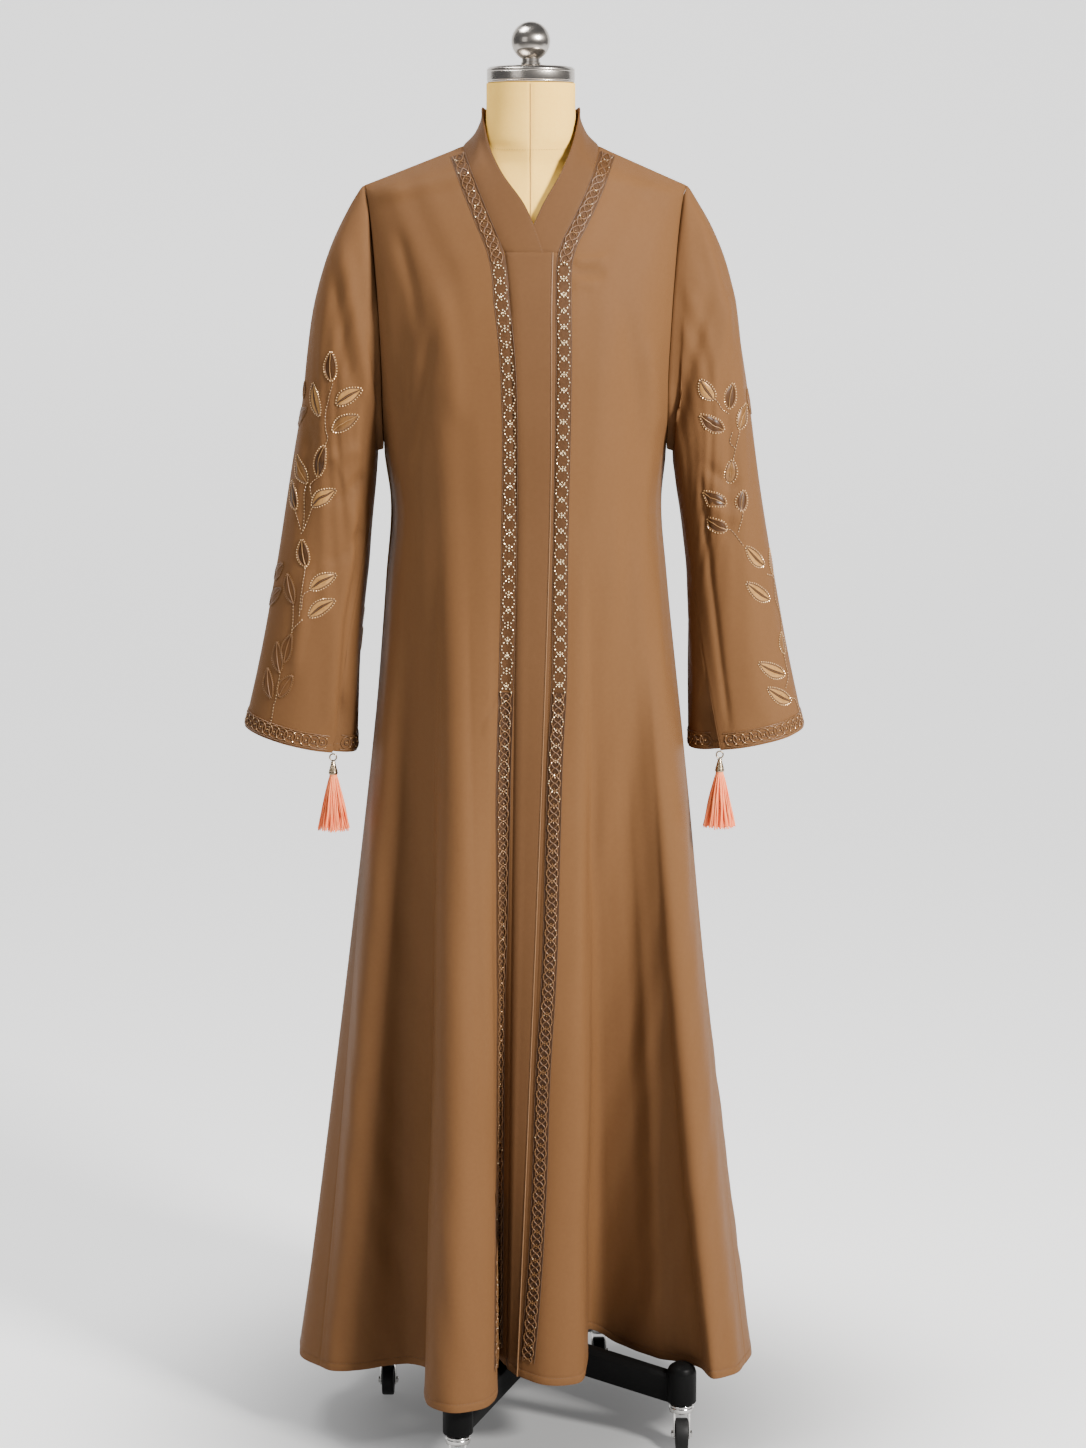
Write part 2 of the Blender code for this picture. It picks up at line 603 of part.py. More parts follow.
def band_grid(hand, front, back):
    """Outer points of half the neckband: rows from the centre back round to the placket."""
    middle = (BACK_NECK_COLUMNS[0] + BACK_NECK_COLUMNS[1]) // 2
    step = -1 if hand < 0 else 1
    end = BACK_NECK_COLUMNS[0] if hand < 0 else BACK_NECK_COLUMNS[1]
    seam = [back[0][k] for k in range(middle, end, step)] + [front[j][0] for j in range(NECKLINE_ROWS + 1)]
    behind = abs(end - middle)
    column = "over_edge" if hand < 0 else "under_edge"
    lift = OVER_LIFT if hand < 0 else 0.0
    grid = []
    for i, base in enumerate(seam):
        if i <= behind:
            turn = math.pi / 2 * i / behind
            s = section_at(CLOTH_SECTIONS, BAND_TOP_Z)
            edge = np.array([hand * s.left * math.sin(turn), s.back * math.cos(turn), BAND_TOP_Z])
        else:
            z = UPPER_ROWS[i - behind].front
            share = (i - behind) / NECKLINE_ROWS
            rise = BAND_RISE * (1 - share) ** BAND_RISE_POWER
            edge = surface_point(CLOTH_SECTIONS, edge_x(column, z + rise * BAND_RISE_LEAN), z + rise, -1)
        line = []
        for k in range(BAND_COLUMNS + 1):
            share = k / BAND_COLUMNS
            if k in (0, BAND_COLUMNS) or i <= behind:
                point = base + (edge - base) * share
                if 0 < k < BAND_COLUMNS:
                    s = section_at(CLOTH_SECTIONS, point[2])
                    half = s.left if hand < 0 else s.right
                    ring = math.hypot(point[0] / half, point[1] / (s.back if point[1] > 0 else s.front))
                    point = np.array([point[0] / ring, point[1] / ring, point[2]])
            else:
                point = base + (edge - base) * share
                point = surface_point(CLOTH_SECTIONS, point[0], point[2], -1)
            raised = lift * smooth(share * 3) * smooth((i - behind) / 2)
            line.append(point + np.array([0.0, -raised, 0.0]))
        grid.append(line)
    return np.array(grid)


def grid_normals(grid):
    """Area normals of a grid's quads, summed at each point."""
    rows, cols = grid.shape[:2]
    total = np.zeros_like(grid)
    for j in range(rows - 1):
        for i in range(cols - 1):
            a, b, c, d = grid[j, i], grid[j, i + 1], grid[j + 1, i + 1], grid[j + 1, i]
            n = np.cross(c - a, d - b)
            length = np.linalg.norm(n)
            if length > 0:
                n = n / length
                for jj, ii in ((j, i), (j, i + 1), (j + 1, i + 1), (j + 1, i)):
                    total[jj, ii] += n
    return total


def outward(grid, normals, centre_line):
    """Turn a grid's normals away from the line that its tube or half tube runs round."""
    away = grid - centre_line(grid)
    if float((away * normals).sum()) < 0:
        normals = -normals
    return normals


def body_axis(grid):
    """Points of the body's own axis at the heights of a grid."""
    line = np.zeros_like(grid)
    line[..., 2] = grid[..., 2] - AXIS_DROP
    return line


def own_axis(grid):
    """Middle of each row of a tube's grid."""
    return np.repeat(grid.mean(axis=1, keepdims=True), grid.shape[1], axis=1)


def seam_key(point):
    """Points that meet on a seam share this key."""
    return tuple(np.round(point, 5))


def shared_normals(grids):
    """Unit normals of every grid, the same on both sides of a seam so that walls meet in a mitre."""
    sums, raw = {}, {}
    for name, (grid, axis) in grids.items():
        normals = outward(grid, grid_normals(grid), axis)
        raw[name] = normals
        for p, n in zip(grid.reshape(-1, 3), normals.reshape(-1, 3)):
            sums[seam_key(p)] = sums.get(seam_key(p), np.zeros(3)) + n
    out = {}
    for name, (grid, _) in grids.items():
        flat = np.array([sums[seam_key(p)] for p in grid.reshape(-1, 3)])
        flat = flat / np.linalg.norm(flat, axis=1, keepdims=True)
        out[name] = flat.reshape(grid.shape)
    return out


def shoulder_normals(grid, normals, columns):
    """On the shoulder seams front and back share the normal that stands on the seam."""
    for k in columns:
        hand = -1 if grid[0, k, 0] < 0 else 1
        run = np.array([hand * 1.0, 0.0, -(NECK_POINT_Z - TIP_Z) / SHOULDER_RUN])
        n = np.cross(run, np.array([0.0, 1.0, 0.0]))
        n = n if n[2] > 0 else -n
        normals[0, k] = n / np.linalg.norm(n)
    return normals


def pull_back(grid, sides):
    """Move the sewn borders of a grid back by half a seam gap."""
    out = grid.copy()
    half = SEAM_GAP / 2 + MITRE_TRIM
    for border, inner in (
        ("first", (np.s_[:, 0], np.s_[:, 1])),
        ("last", (np.s_[:, -1], np.s_[:, -2])),
        ("top", (np.s_[0], np.s_[1])),
        ("foot", (np.s_[-1], np.s_[-2])),
    ):
        if border in sides:
            edge, nxt = inner
            step = grid[nxt] - grid[edge]
            step = step / np.linalg.norm(step, axis=-1, keepdims=True)
            out[edge] = out[edge] + step * half
    return out


def wall_solid(name, grid, normals, material, thickness=WALL):
    """A wall of even thickness inside a grid of outer points."""
    rows, cols = grid.shape[:2]
    outer = grid.reshape(-1, 3)
    inner = (grid - normals * thickness).reshape(-1, 3)
    verts = np.vstack([outer, inner])
    far = rows * cols
    faces = []

    def at(j, i):
        """Number of the outer vertex at a row and column."""
        return j * cols + i

    for j in range(rows - 1):
        for i in range(cols - 1):
            a, b, c, d = at(j, i), at(j, i + 1), at(j + 1, i + 1), at(j + 1, i)
            faces.append((a, b, c, d))
            faces.append((a + far, d + far, c + far, b + far))
    for i in range(cols - 1):
        faces.append((at(0, i + 1), at(0, i), at(0, i) + far, at(0, i + 1) + far))
        faces.append((at(rows - 1, i), at(rows - 1, i + 1), at(rows - 1, i + 1) + far, at(rows - 1, i) + far))
    for j in range(rows - 1):
        faces.append((at(j, 0), at(j + 1, 0), at(j + 1, 0) + far, at(j, 0) + far))
        faces.append((at(j + 1, cols - 1), at(j, cols - 1), at(j, cols - 1) + far, at(j + 1, cols - 1) + far))
    return place(name, mesh_from(name, verts, faces), material)


def make_cloak():
    """The cloak's nine sewn pieces; gives the corner of each cuff that carries a tassel."""
    right, left, back = front_grid(-1), front_grid(1), back_grid()
    over, under = placket_grids(right, left)
    pieces = {
        "front_right": (right, body_axis),
        "front_left": (left, body_axis),
        "back": (back, body_axis),
        "sleeve_right": (sleeve_grid(-1, right, back), own_axis),
        "sleeve_left": (sleeve_grid(1, left, back), own_axis),
        "neckband_right": (band_grid(-1, right, back), body_axis),
        "neckband_left": (band_grid(1, left, back), body_axis),
        "placket_over": (over, body_axis),
        "placket_under": (under, body_axis),
    }
    normals = shared_normals(pieces)
    for name in ("front_right", "front_left"):
        shoulder_normals(pieces[name][0], normals[name], range(1, pieces[name][0].shape[1] - 1))
    first, second = BACK_NECK_COLUMNS
    last = back.shape[1] - 1
    shoulder_normals(back, normals["back"], [*range(1, first), *range(second + 1, last)])
    sewn = {
        "front_right": ("first", "last", "top"),
        "front_left": ("first", "last", "top"),
        "back": ("first", "last", "top"),
        "sleeve_right": ("first", "last", "top"),
        "sleeve_left": ("first", "last", "top"),
        "neckband_right": ("first", "top", "foot"),
        "neckband_left": ("first", "top", "foot"),
        "placket_over": ("first", "top"),
        "placket_under": ("first", "top"),
    }
    for name, (grid, _) in pieces.items():
        material = "cloak_satin" if "front" in name or "back" in name or "sleeve" in name else "band_satin"
        wall_solid(name, pull_back(grid, sewn[name]), normals[name], material)
    return {side: pieces["sleeve_" + side][0][-1][-1] for side in ("right", "left")}


def lofted(rings):
    """Vertices and faces of a solid through rings of points, with flat ends."""
    count = len(rings[0])
    verts = [p for ring in rings for p in ring]
    faces = [tuple(range(count))[::-1], tuple(range(len(verts) - count, len(verts)))]
    for j in range(len(rings) - 1):
        for i in range(count):
            k = (i + 1) % count
            faces.append((j * count + i, j * count + k, (j + 1) * count + k, (j + 1) * count + i))
    return verts, faces


def make_form():
    """Torso with neck, metal cap, ball finial and pole."""
    rings = []
    for s in FORM_SECTIONS:
        ring = []
        for i in range(FORM_SIDES):
            angle = 2 * math.pi * i / FORM_SIDES
            c, n = math.cos(angle), math.sin(angle)
            x = (s.right if c >= 0 else s.left) * math.copysign(abs(c) ** (2.0 / s.power), c)
            y = (s.back if n >= 0 else s.front) * math.copysign(abs(n) ** (2.0 / s.power), n)
            ring.append((x, y, s.z))
        rings.append(ring)
    place("form_torso", mesh_from("form_torso", *lofted(rings)), "form_cover")
    turned("neck_cap", CAP_PROFILE, CAP_SIDES, "brushed_steel")
    low = -math.acos(FINIAL_STEM_R / BALL_R)
    turns = [math.pi / 2 + (low - math.pi / 2) * i / BALL_STEPS for i in range(BALL_STEPS + 1)]
    ball = [(BALL_R * math.cos(t), BALL_Z + BALL_R * math.sin(t)) for t in turns]
    ball[0] = (0.0, BALL_Z + BALL_R)
    stem = [(FINIAL_STEM_R, FINIAL_STEM_FOOT), (0.0, FINIAL_STEM_FOOT)]
    turned("ball_finial", ball + stem, ROUND_SIDES, "brushed_steel")
    foot, head = HUB_PROFILE[0][1] + SEAM_GAP, FORM_SECTIONS[-1].z - SEAM_GAP
    turned("pole", ((0.0, head), (POLE_R, head), (POLE_R, foot), (0.0, foot)), ROUND_SIDES, "brushed_steel")


def make_base():
    """Hub, four arms with dome posts, and a swivel caster under each."""
    turned("hub", HUB_PROFILE, 24, "black_paint")
    for k in range(LEG_COUNT):
        heading = -LEG_ANGLE - k * 2 * math.pi / LEG_COUNT
        out = np.array([math.cos(heading), math.sin(heading), 0.0])
        across = np.array([-out[1], out[0], 0.0])
        rings = []
        for end in ARM_ENDS:
            shoulder = end.top - (end.half_width - end.half_ridge) * RIDGE_SLOPE
            outline = (
                (-end.half_width, end.bottom),
                (end.half_width, end.bottom),
                (end.half_width, shoulder),
                (end.half_ridge, end.top),
                (-end.half_ridge, end.top),
                (-end.half_width, shoulder),
            )
            rings.append([out * end.reach + across * a + np.array([0, 0, z]) for a, z in outline])
        name = f"leg_{k + 1}"
        leg = place(name, mesh_from(name, *lofted(rings)), "black_paint")
        centre = (float(out[0] * LEG_REACH), float(out[1] * LEG_REACH), 0.0)
        join(leg, [turned(name + "_post", POST_PROFILE, ROUND_SIDES, "black_paint", centre, True)])
        make_caster(k + 1, centre)


def plate_mesh(name, outline, x0, x1):
    """A flat outline in the YZ plane, given its thickness from x0 to x1."""
    mesh = bpy.data.meshes.new(name)
    bm = bmesh.new()
    face = bm.faces.new([bm.verts.new((x0, y, z)) for y, z in outline])
    moved = bmesh.ops.extrude_face_region(bm, geom=[face])["geom"]
    ends = [v for v in moved if isinstance(v, bmesh.types.BMVert)]
    bmesh.ops.translate(bm, verts=ends, vec=(x1 - x0, 0.0, 0.0))
    bmesh.ops.recalc_face_normals(bm, faces=bm.faces)
    bm.to_mesh(mesh)
    bm.free()
    return mesh


def rod_mesh(name, radius, sides, x0, x1, y, z):
    """A round or six-sided rod along X."""
    ring = [2 * math.pi * (i + 0.5) / sides for i in range(sides)]
    outline = [(y + radius * math.cos(a), z + radius * math.sin(a)) for a in ring]
    return plate_mesh(name, outline, x0, x1)


def make_caster(number, centre):
    """A fork that swivels under its post, with its axle, and the wheel on it."""
    name = f"caster_fork_{number}"
    fork = turned(name, HEAD_PROFILE, 16, "brushed_steel", centre)
    tip = [math.pi * i / 5 for i in range(6)]
    outline = [(PLATE_HALF_TOP, HEAD_BOTTOM + 0.002), (-PLATE_HALF_TOP, HEAD_BOTTOM + 0.002)]
    outline += [
        (-CASTER_TRAIL - PLATE_TIP_R * math.cos(a), WHEEL_R - PLATE_TIP_R * math.sin(a)) for a in tip
    ]
    tools = []
    for hand, side in ((-1, "right"), (1, "left")):
        near, far = hand * PLATE_INNER, hand * (PLATE_INNER + PLATE_THICK)
        label = f"{name}_{side}"
        plate = plate_mesh(label + "_plate", outline, near, far)
        nut = rod_mesh(
            label + "_nut", NUT_R, 6, far - hand * 0.001, far + hand * NUT_LENGTH, -CASTER_TRAIL, WHEEL_R
        )
        for mesh in (plate, nut):
            tools.append(place(mesh.name, mesh, "brushed_steel", centre, True))
    reach = PLATE_INNER + PLATE_THICK / 2
    axle = rod_mesh(name + "_axle", AXLE_R, 10, -reach, reach, -CASTER_TRAIL, WHEEL_R)
    tools.append(place(axle.name, axle, "brushed_steel", centre, True))
    join(fork, tools)
    flat = WHEEL_R / math.cos(math.pi / WHEEL_SIDES)
    tread = (
        (BORE_R, WHEEL_HALF_WIDTH),
        (flat - WHEEL_EDGE, WHEEL_HALF_WIDTH),
        (flat, WHEEL_HALF_WIDTH - WHEEL_EDGE),
        (flat, WHEEL_EDGE - WHEEL_HALF_WIDTH),
        (flat - WHEEL_EDGE, -WHEEL_HALF_WIDTH),
        (BORE_R, -WHEEL_HALF_WIDTH),
    )
    axle_at = (centre[0], centre[1] - CASTER_TRAIL, WHEEL_R)
    wheel = turned(
        f"caster_wheel_{number}", tread, WHEEL_SIDES, "wheel_rubber", axle_at, half_step=True
    )
    wheel.rotation_euler = (0.0, math.pi / 2, 0.0)


def strand_solids(root_z):
    """Every strand of a tassel, three-sided, fanned out from under its cap."""
    verts, faces = [], []
    top = root_z - CORE_LENGTH * 0.45
    for ring in STRAND_RINGS:
        for i in range(ring.count):
            angle = 2 * math.pi * (i + 0.5 * (ring.count % 2)) / ring.count
            out = np.array([math.cos(angle), math.sin(angle), 0.0])
            side = np.array([-out[1], out[0], 0.0])
            length = STRAND_LENGTH * (1 - 0.02 * math.sin(5 * angle + ring.count)) - (root_z - top)
            rings = []
            for level in STRAND_LEVELS:
                reach = ring.root + STRAND_SPREAD * ring.spread * level**0.8
                middle = out * reach + np.array([0.0, 0.0, top - length * level])
                size = STRAND_ROOT_R + (STRAND_R - STRAND_ROOT_R) * min(1.0, level * 2)
                rings.append(
                    [
                        middle + out * size,
                        middle - out * size / 2 + side * size,
                        middle - out * size / 2 - side * size,
                    ]
                )
            points, sides = lofted(rings)
            faces += [tuple(k + len(verts) for k in face) for face in sides]
            verts += points
    return verts, faces


def make_tassel(side, corner):
    """Ring, cone cap and strands that hang from the lowest corner of a cuff."""
    centre = (float(corner[0]), float(corner[1]) + WALL / 2, 0.0)
    ring_top = float(corner[2]) - SEAM_GAP
    bpy.ops.mesh.primitive_torus_add(
        major_radius=RING_R, minor_radius=RING_WIRE, major_segments=14, minor_segments=6
    )
    torus = bpy.context.active_object
    mesh = torus.data
    bpy.data.objects.remove(torus, do_unlink=True)
    ring = place(f"tassel_{side}_ring", mesh, "tassel_metal", centre)
    ring.location.z = ring_top - RING_R - RING_WIRE
    ring.rotation_euler = (math.pi / 2, 0.0, 0.0)
    top = ring_top - 2 * (RING_R + RING_WIRE) - SEAM_GAP
    foot = top - CAP_LENGTH
    cap = (
        (0.0, top),
        (CAP_TOP_R - 0.0006, top),
        (CAP_TOP_R, top - 0.0008),
        (CAP_TOP_R + 0.0006, top - 0.0025),
        (CAP_FOOT_R - 0.0004, foot + 0.0030),
        (CAP_FOOT_R, foot + 0.0010),
        (CAP_FOOT_R - 0.0006, foot),
        (0.0, foot),
    )
    turned(f"tassel_{side}_cap", cap, 12, "tassel_metal", centre)
    root = foot - SEAM_GAP
    core = ((0.0, root), (CORE_R, root), (CORE_R, root - CORE_LENGTH * 0.8), (0.0, root - CORE_LENGTH))
    name = f"tassel_{side}_strands"
    head = turned(name, core, 12, "tassel_thread", centre)
    strands = mesh_from(name + "_loose", *strand_solids(root))
    join(head, [place(name + "_loose", strands, "tassel_thread", centre, True)])


def main():
    """Build every node."""
    reset()
    corners = make_cloak()
    make_form()
    make_base()
    for side, corner in corners.items():
        make_tassel(side, corner)
    bpy.context.view_layer.update()


if __name__ == "__main__":
    main()
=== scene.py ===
"""Looks of an abaya cloak on a dress form stand.

Satin cloth with beaded trims, leaf embroidery and cuff tassels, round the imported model, in metres.
Sizes of the garment and the stand are measured from the pole's axis, as in the model's own source.
"""

from __future__ import annotations

import logging
import math
from collections import namedtuple
from collections.abc import Iterable, Sequence
from dataclasses import dataclass, field
from enum import Enum

import bmesh
import bpy
import numpy as np
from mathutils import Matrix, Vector
from mathutils.bvhtree import BVHTree

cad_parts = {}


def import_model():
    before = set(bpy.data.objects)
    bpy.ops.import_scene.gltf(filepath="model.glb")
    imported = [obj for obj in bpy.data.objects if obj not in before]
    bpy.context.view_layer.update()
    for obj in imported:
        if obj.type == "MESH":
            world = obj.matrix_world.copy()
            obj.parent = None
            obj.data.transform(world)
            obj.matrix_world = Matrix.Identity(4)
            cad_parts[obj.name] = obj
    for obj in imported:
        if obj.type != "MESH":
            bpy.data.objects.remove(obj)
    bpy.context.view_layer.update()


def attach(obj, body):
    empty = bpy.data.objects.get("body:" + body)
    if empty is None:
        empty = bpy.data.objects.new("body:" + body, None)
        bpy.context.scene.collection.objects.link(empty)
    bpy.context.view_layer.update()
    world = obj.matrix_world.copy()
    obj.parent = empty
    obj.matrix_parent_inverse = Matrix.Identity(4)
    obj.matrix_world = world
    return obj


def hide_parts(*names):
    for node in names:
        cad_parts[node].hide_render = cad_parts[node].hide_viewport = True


LOG = logging.getLogger("abaya")
Array = np.ndarray

AXIS = np.array([0.00775, -0.0115, 0.0])
CLOTH_THICKNESS = 0.0012

WAIST_Z = 1.150
NECK_POINT_Z = 1.558
NECK_POINT_X = 0.079
TIP_Z = 1.513
FOLD_GROWTH = 1.5
FLARE_GROWTH = 1.15

Section = namedtuple("Section", "z left right front back power")
CLOTH_SECTIONS = (
    Section(1.625, 0.0570, 0.0570, 0.0570, 0.0570, 2.00),
    Section(1.590, 0.0575, 0.0575, 0.0575, 0.0580, 2.00),
    Section(1.572, 0.0640, 0.0640, 0.0580, 0.0610, 1.95),
    Section(1.558, 0.0790, 0.0790, 0.0590, 0.0640, 1.80),
    Section(1.540, 0.1254, 0.1202, 0.0640, 0.0710, 1.60),
    Section(1.513, 0.1950, 0.1820, 0.0750, 0.0840, 1.50),
    Section(1.470, 0.1940, 0.1810, 0.0930, 0.1000, 1.80),
    Section(1.420, 0.1910, 0.1780, 0.1100, 0.1080, 2.10),
    Section(1.360, 0.1860, 0.1730, 0.1260, 0.1120, 2.30),
    Section(1.300, 0.1810, 0.1670, 0.1310, 0.1120, 2.40),
    Section(1.205, 0.1740, 0.1600, 0.1310, 0.1120, 2.40),
    Section(1.150, 0.1670, 0.1550, 0.1290, 0.1120, 2.40),
)

UpperRow = namedtuple("UpperRow", "front armhole back")
UPPER_ROWS = (
    UpperRow(1.558, 1.5130, 1.5480),
    UpperRow(1.535, 1.5020, 1.5280),
    UpperRow(1.510, 1.4830, 1.5000),
    UpperRow(1.484, 1.4560, 1.4680),
    UpperRow(1.460, 1.4240, 1.4340),
    UpperRow(1.437, 1.3870, 1.3980),
    UpperRow(1.384, 1.3430, 1.3520),
    UpperRow(1.325, 1.2970, 1.3040),
    UpperRow(1.265, 1.2510, 1.2540),
    UpperRow(1.205, 1.2050, 1.2050),
)
NECKLINE_ROWS = 5

EdgeRow = namedtuple("EdgeRow", "z right_seam left_seam over_edge under_edge")
FRONT_EDGES = (
    EdgeRow(1.558, -0.079, 0.079, -0.0560, 0.0560),
    EdgeRow(1.523, -0.069, 0.071, -0.0400, 0.0400),
    EdgeRow(1.484, -0.053, 0.054, -0.0060, 0.0130),
    EdgeRow(1.456, -0.041, 0.041, 0.0080, -0.0020),
    EdgeRow(1.437, -0.030, 0.031, 0.0150, -0.0120),
    EdgeRow(1.384, -0.024, 0.029, 0.0230, -0.0140),
    EdgeRow(1.205, -0.018, 0.028, 0.0245, -0.0090),
    EdgeRow(1.150, -0.017, 0.027, 0.0245, -0.0080),
)
BAND_TOP_Z = 1.600

Fold = namedtuple("Fold", "waist x y z", defaults=(0.095,))
RIGHT_FRONT_FOLDS = (
    Fold(0.000, -0.031, -0.108, 0.110),
    Fold(0.050, -0.044, -0.088, 0.115),
    Fold(0.110, -0.047, -0.106, 0.115),
    Fold(0.170, -0.044, -0.134, 0.112),
    Fold(0.225, -0.040, -0.168, 0.098),
    Fold(0.280, -0.048, -0.193),
    Fold(0.335, -0.067, -0.211),
    Fold(0.390, -0.092, -0.217),
    Fold(0.445, -0.119, -0.198),
    Fold(0.495, -0.127, -0.172),
    Fold(0.545, -0.126, -0.125),
    Fold(0.595, -0.126, -0.080),
    Fold(0.660, -0.149, -0.064),
    Fold(0.730, -0.173, -0.069),
    Fold(0.810, -0.207, -0.084),
    Fold(0.900, -0.236, -0.087),
    Fold(1.000, -0.259, -0.071),
)
LEFT_FRONT_FOLDS = (
    Fold(0.000, -0.0135, -0.124, 0.102),
    Fold(0.070, 0.015, -0.136, 0.097),
    Fold(0.135, 0.043, -0.132),
    Fold(0.190, 0.061, -0.119),
    Fold(0.235, 0.067, -0.096, 0.102),
    Fold(0.280, 0.069, -0.050, 0.119),
    Fold(0.325, 0.070, -0.010, 0.119),
    Fold(0.375, 0.084, 0.008, 0.108),
    Fold(0.435, 0.104, 0.002, 0.097),
    Fold(0.510, 0.131, -0.023),
    Fold(0.590, 0.158, -0.048),
    Fold(0.660, 0.181, -0.057),
    Fold(0.725, 0.206, -0.078),
    Fold(0.790, 0.217, -0.112),
    Fold(0.865, 0.240, -0.101),
    Fold(1.000, 0.262, -0.062),
)
BACK_FOLDS = (
    Fold(-1.00, -0.259, -0.071),
    Fold(-0.975, -0.284, -0.038),
    Fold(-0.935, -0.288, 0.006),
    Fold(-0.880, -0.281, 0.056),
    Fold(-0.810, -0.252, 0.098),
    Fold(-0.730, -0.238, 0.146),
    Fold(-0.640, -0.205, 0.170),
    Fold(-0.540, -0.165, 0.172),
    Fold(-0.440, -0.138, 0.216),
    Fold(-0.330, -0.098, 0.228),
    Fold(-0.220, -0.064, 0.204),
    Fold(-0.110, -0.034, 0.236),
    Fold(0.000, 0.004, 0.240),
    Fold(0.110, 0.040, 0.212),
    Fold(0.220, 0.074, 0.238),
    Fold(0.330, 0.112, 0.234),
    Fold(0.440, 0.142, 0.200),
    Fold(0.540, 0.180, 0.206),
    Fold(0.640, 0.212, 0.180),
    Fold(0.730, 0.222, 0.136),
    Fold(0.810, 0.254, 0.112),
    Fold(0.880, 0.268, 0.066),
    Fold(0.935, 0.272, 0.018),
    Fold(0.975, 0.271, -0.028),
    Fold(1.00, 0.262, -0.062),
)
BACK_NECK_COLUMNS = (8, 16)
SKIRT_LEVELS = (0.090, 0.180, 0.275, 0.370, 0.465, 0.560, 0.650, 0.740, 0.820, 0.890, 0.950, 1.0)

SleeveRow = namedtuple("SleeveRow", "share outer_x outer_z inner_x inner_z depth seam_turn")
RIGHT_SLEEVE = (
    SleeveRow(0.00, -0.195, 1.513, -0.174, 1.205, 0.060, 0),
    SleeveRow(0.06, -0.222, 1.484, -0.178, 1.190, 0.062, 5),
    SleeveRow(0.14, -0.241, 1.436, -0.182, 1.168, 0.060, 12),
    SleeveRow(0.25, -0.257, 1.362, -0.187, 1.130, 0.056, 20),
    SleeveRow(0.40, -0.270, 1.262, -0.192, 1.075, 0.054, 28),
    SleeveRow(0.55, -0.286, 1.165, -0.199, 1.020, 0.054, 35),
    SleeveRow(0.70, -0.302, 1.072, -0.204, 0.968, 0.055, 42),
    SleeveRow(0.85, -0.322, 0.972, -0.206, 0.912, 0.056, 48),
    SleeveRow(1.00, -0.343, 0.880, -0.208, 0.857, 0.057, 53),
)
LEFT_SLEEVE = (
    SleeveRow(0.00, 0.182, 1.513, 0.160, 1.205, 0.060, 0),
    SleeveRow(0.06, 0.205, 1.486, 0.164, 1.188, 0.062, 5),
    SleeveRow(0.14, 0.225, 1.442, 0.170, 1.164, 0.060, 12),
    SleeveRow(0.25, 0.241, 1.372, 0.178, 1.124, 0.056, 20),
    SleeveRow(0.40, 0.256, 1.272, 0.184, 1.070, 0.054, 28),
    SleeveRow(0.55, 0.270, 1.170, 0.186, 1.018, 0.054, 36),
    SleeveRow(0.70, 0.286, 1.075, 0.187, 0.966, 0.055, 45),
    SleeveRow(0.85, 0.306, 0.968, 0.188, 0.912, 0.056, 54),
    SleeveRow(1.00, 0.327, 0.879, 0.189, 0.861, 0.057, 60),
)
SLEEVE_LEVELS = (0.04, 0.10, 0.16, 0.23, 0.31, 0.40, 0.49, 0.58, 0.67, 0.76, 0.82, 0.88, 0.94, 1.0)

FORM_SECTIONS = (
    Section(1.6285, 0.0515, 0.0515, 0.0515, 0.0515, 2.0),
    Section(1.600, 0.0515, 0.0515, 0.0515, 0.0520, 2.0),
    Section(1.580, 0.0530, 0.0530, 0.0530, 0.0540, 2.0),
    Section(1.566, 0.0560, 0.0560, 0.0535, 0.0545, 2.0),
    Section(1.554, 0.0680, 0.0680, 0.0545, 0.0550, 1.5),
    Section(1.540, 0.1186, 0.1139, 0.0540, 0.0540, 1.1),
    Section(1.525, 0.1573, 0.1483, 0.0580, 0.0590, 1.1),
    Section(1.508, 0.1720, 0.1610, 0.0650, 0.0720, 1.3),
    Section(1.480, 0.1750, 0.1640, 0.0780, 0.0860, 1.8),
    Section(1.430, 0.1740, 0.1640, 0.0960, 0.0960, 2.0),
    Section(1.370, 0.1680, 0.1580, 0.1150, 0.1000, 2.2),
    Section(1.310, 0.1600, 0.1520, 0.1180, 0.0960, 2.2),
    Section(1.230, 0.1460, 0.1400, 0.1000, 0.0860, 2.1),
    Section(1.150, 0.1350, 0.1300, 0.0900, 0.0820, 2.0),
    Section(1.060, 0.1430, 0.1390, 0.0950, 0.0920, 2.0),
    Section(0.960, 0.1560, 0.1520, 0.1010, 0.1040, 2.0),
    Section(0.900, 0.1520, 0.1480, 0.0980, 0.1020, 2.0),
    Section(0.880, 0.1300, 0.1260, 0.0820, 0.0860, 2.0),
)


def ease(t: float) -> float:
    """Ease from 0 to 1."""
    t = min(max(t, 0.0), 1.0)
    return t * t * (3 - 2 * t)


def section_at(table: Sequence[Section], z: float) -> Section:
    """One section of a table, worked out for height z."""
    heights = [s.z for s in table][::-1]
    columns = list(zip(*table))[1:]
    return Section(z, *(float(np.interp(z, heights, c[::-1])) for c in columns))


def surface_point(x: float, z: float, side: int) -> Array:
    """The point of the cloth at x and z; side is -1 for the front and +1 for the back."""
    s = section_at(CLOTH_SECTIONS, z)
    half = s.left if x < 0 else s.right
    x = max(-s.left, min(s.right, x))
    rest = max(0.0, 1.0 - (abs(x) / half) ** s.power)
    depth = s.front if side < 0 else s.back
    return np.array([x, side * depth * rest ** (1.0 / s.power), z])


def round_point(section: Section, angle: float) -> Array:
    """The point of a section at an angle round the axis."""
    c, s = math.cos(angle), math.sin(angle)
    x = (section.right if c >= 0 else section.left) * math.copysign(abs(c) ** (2.0 / section.power), c)
    y = (section.back if s >= 0 else section.front) * math.copysign(abs(s) ** (2.0 / section.power), s)
    return np.array([x, y, section.z])


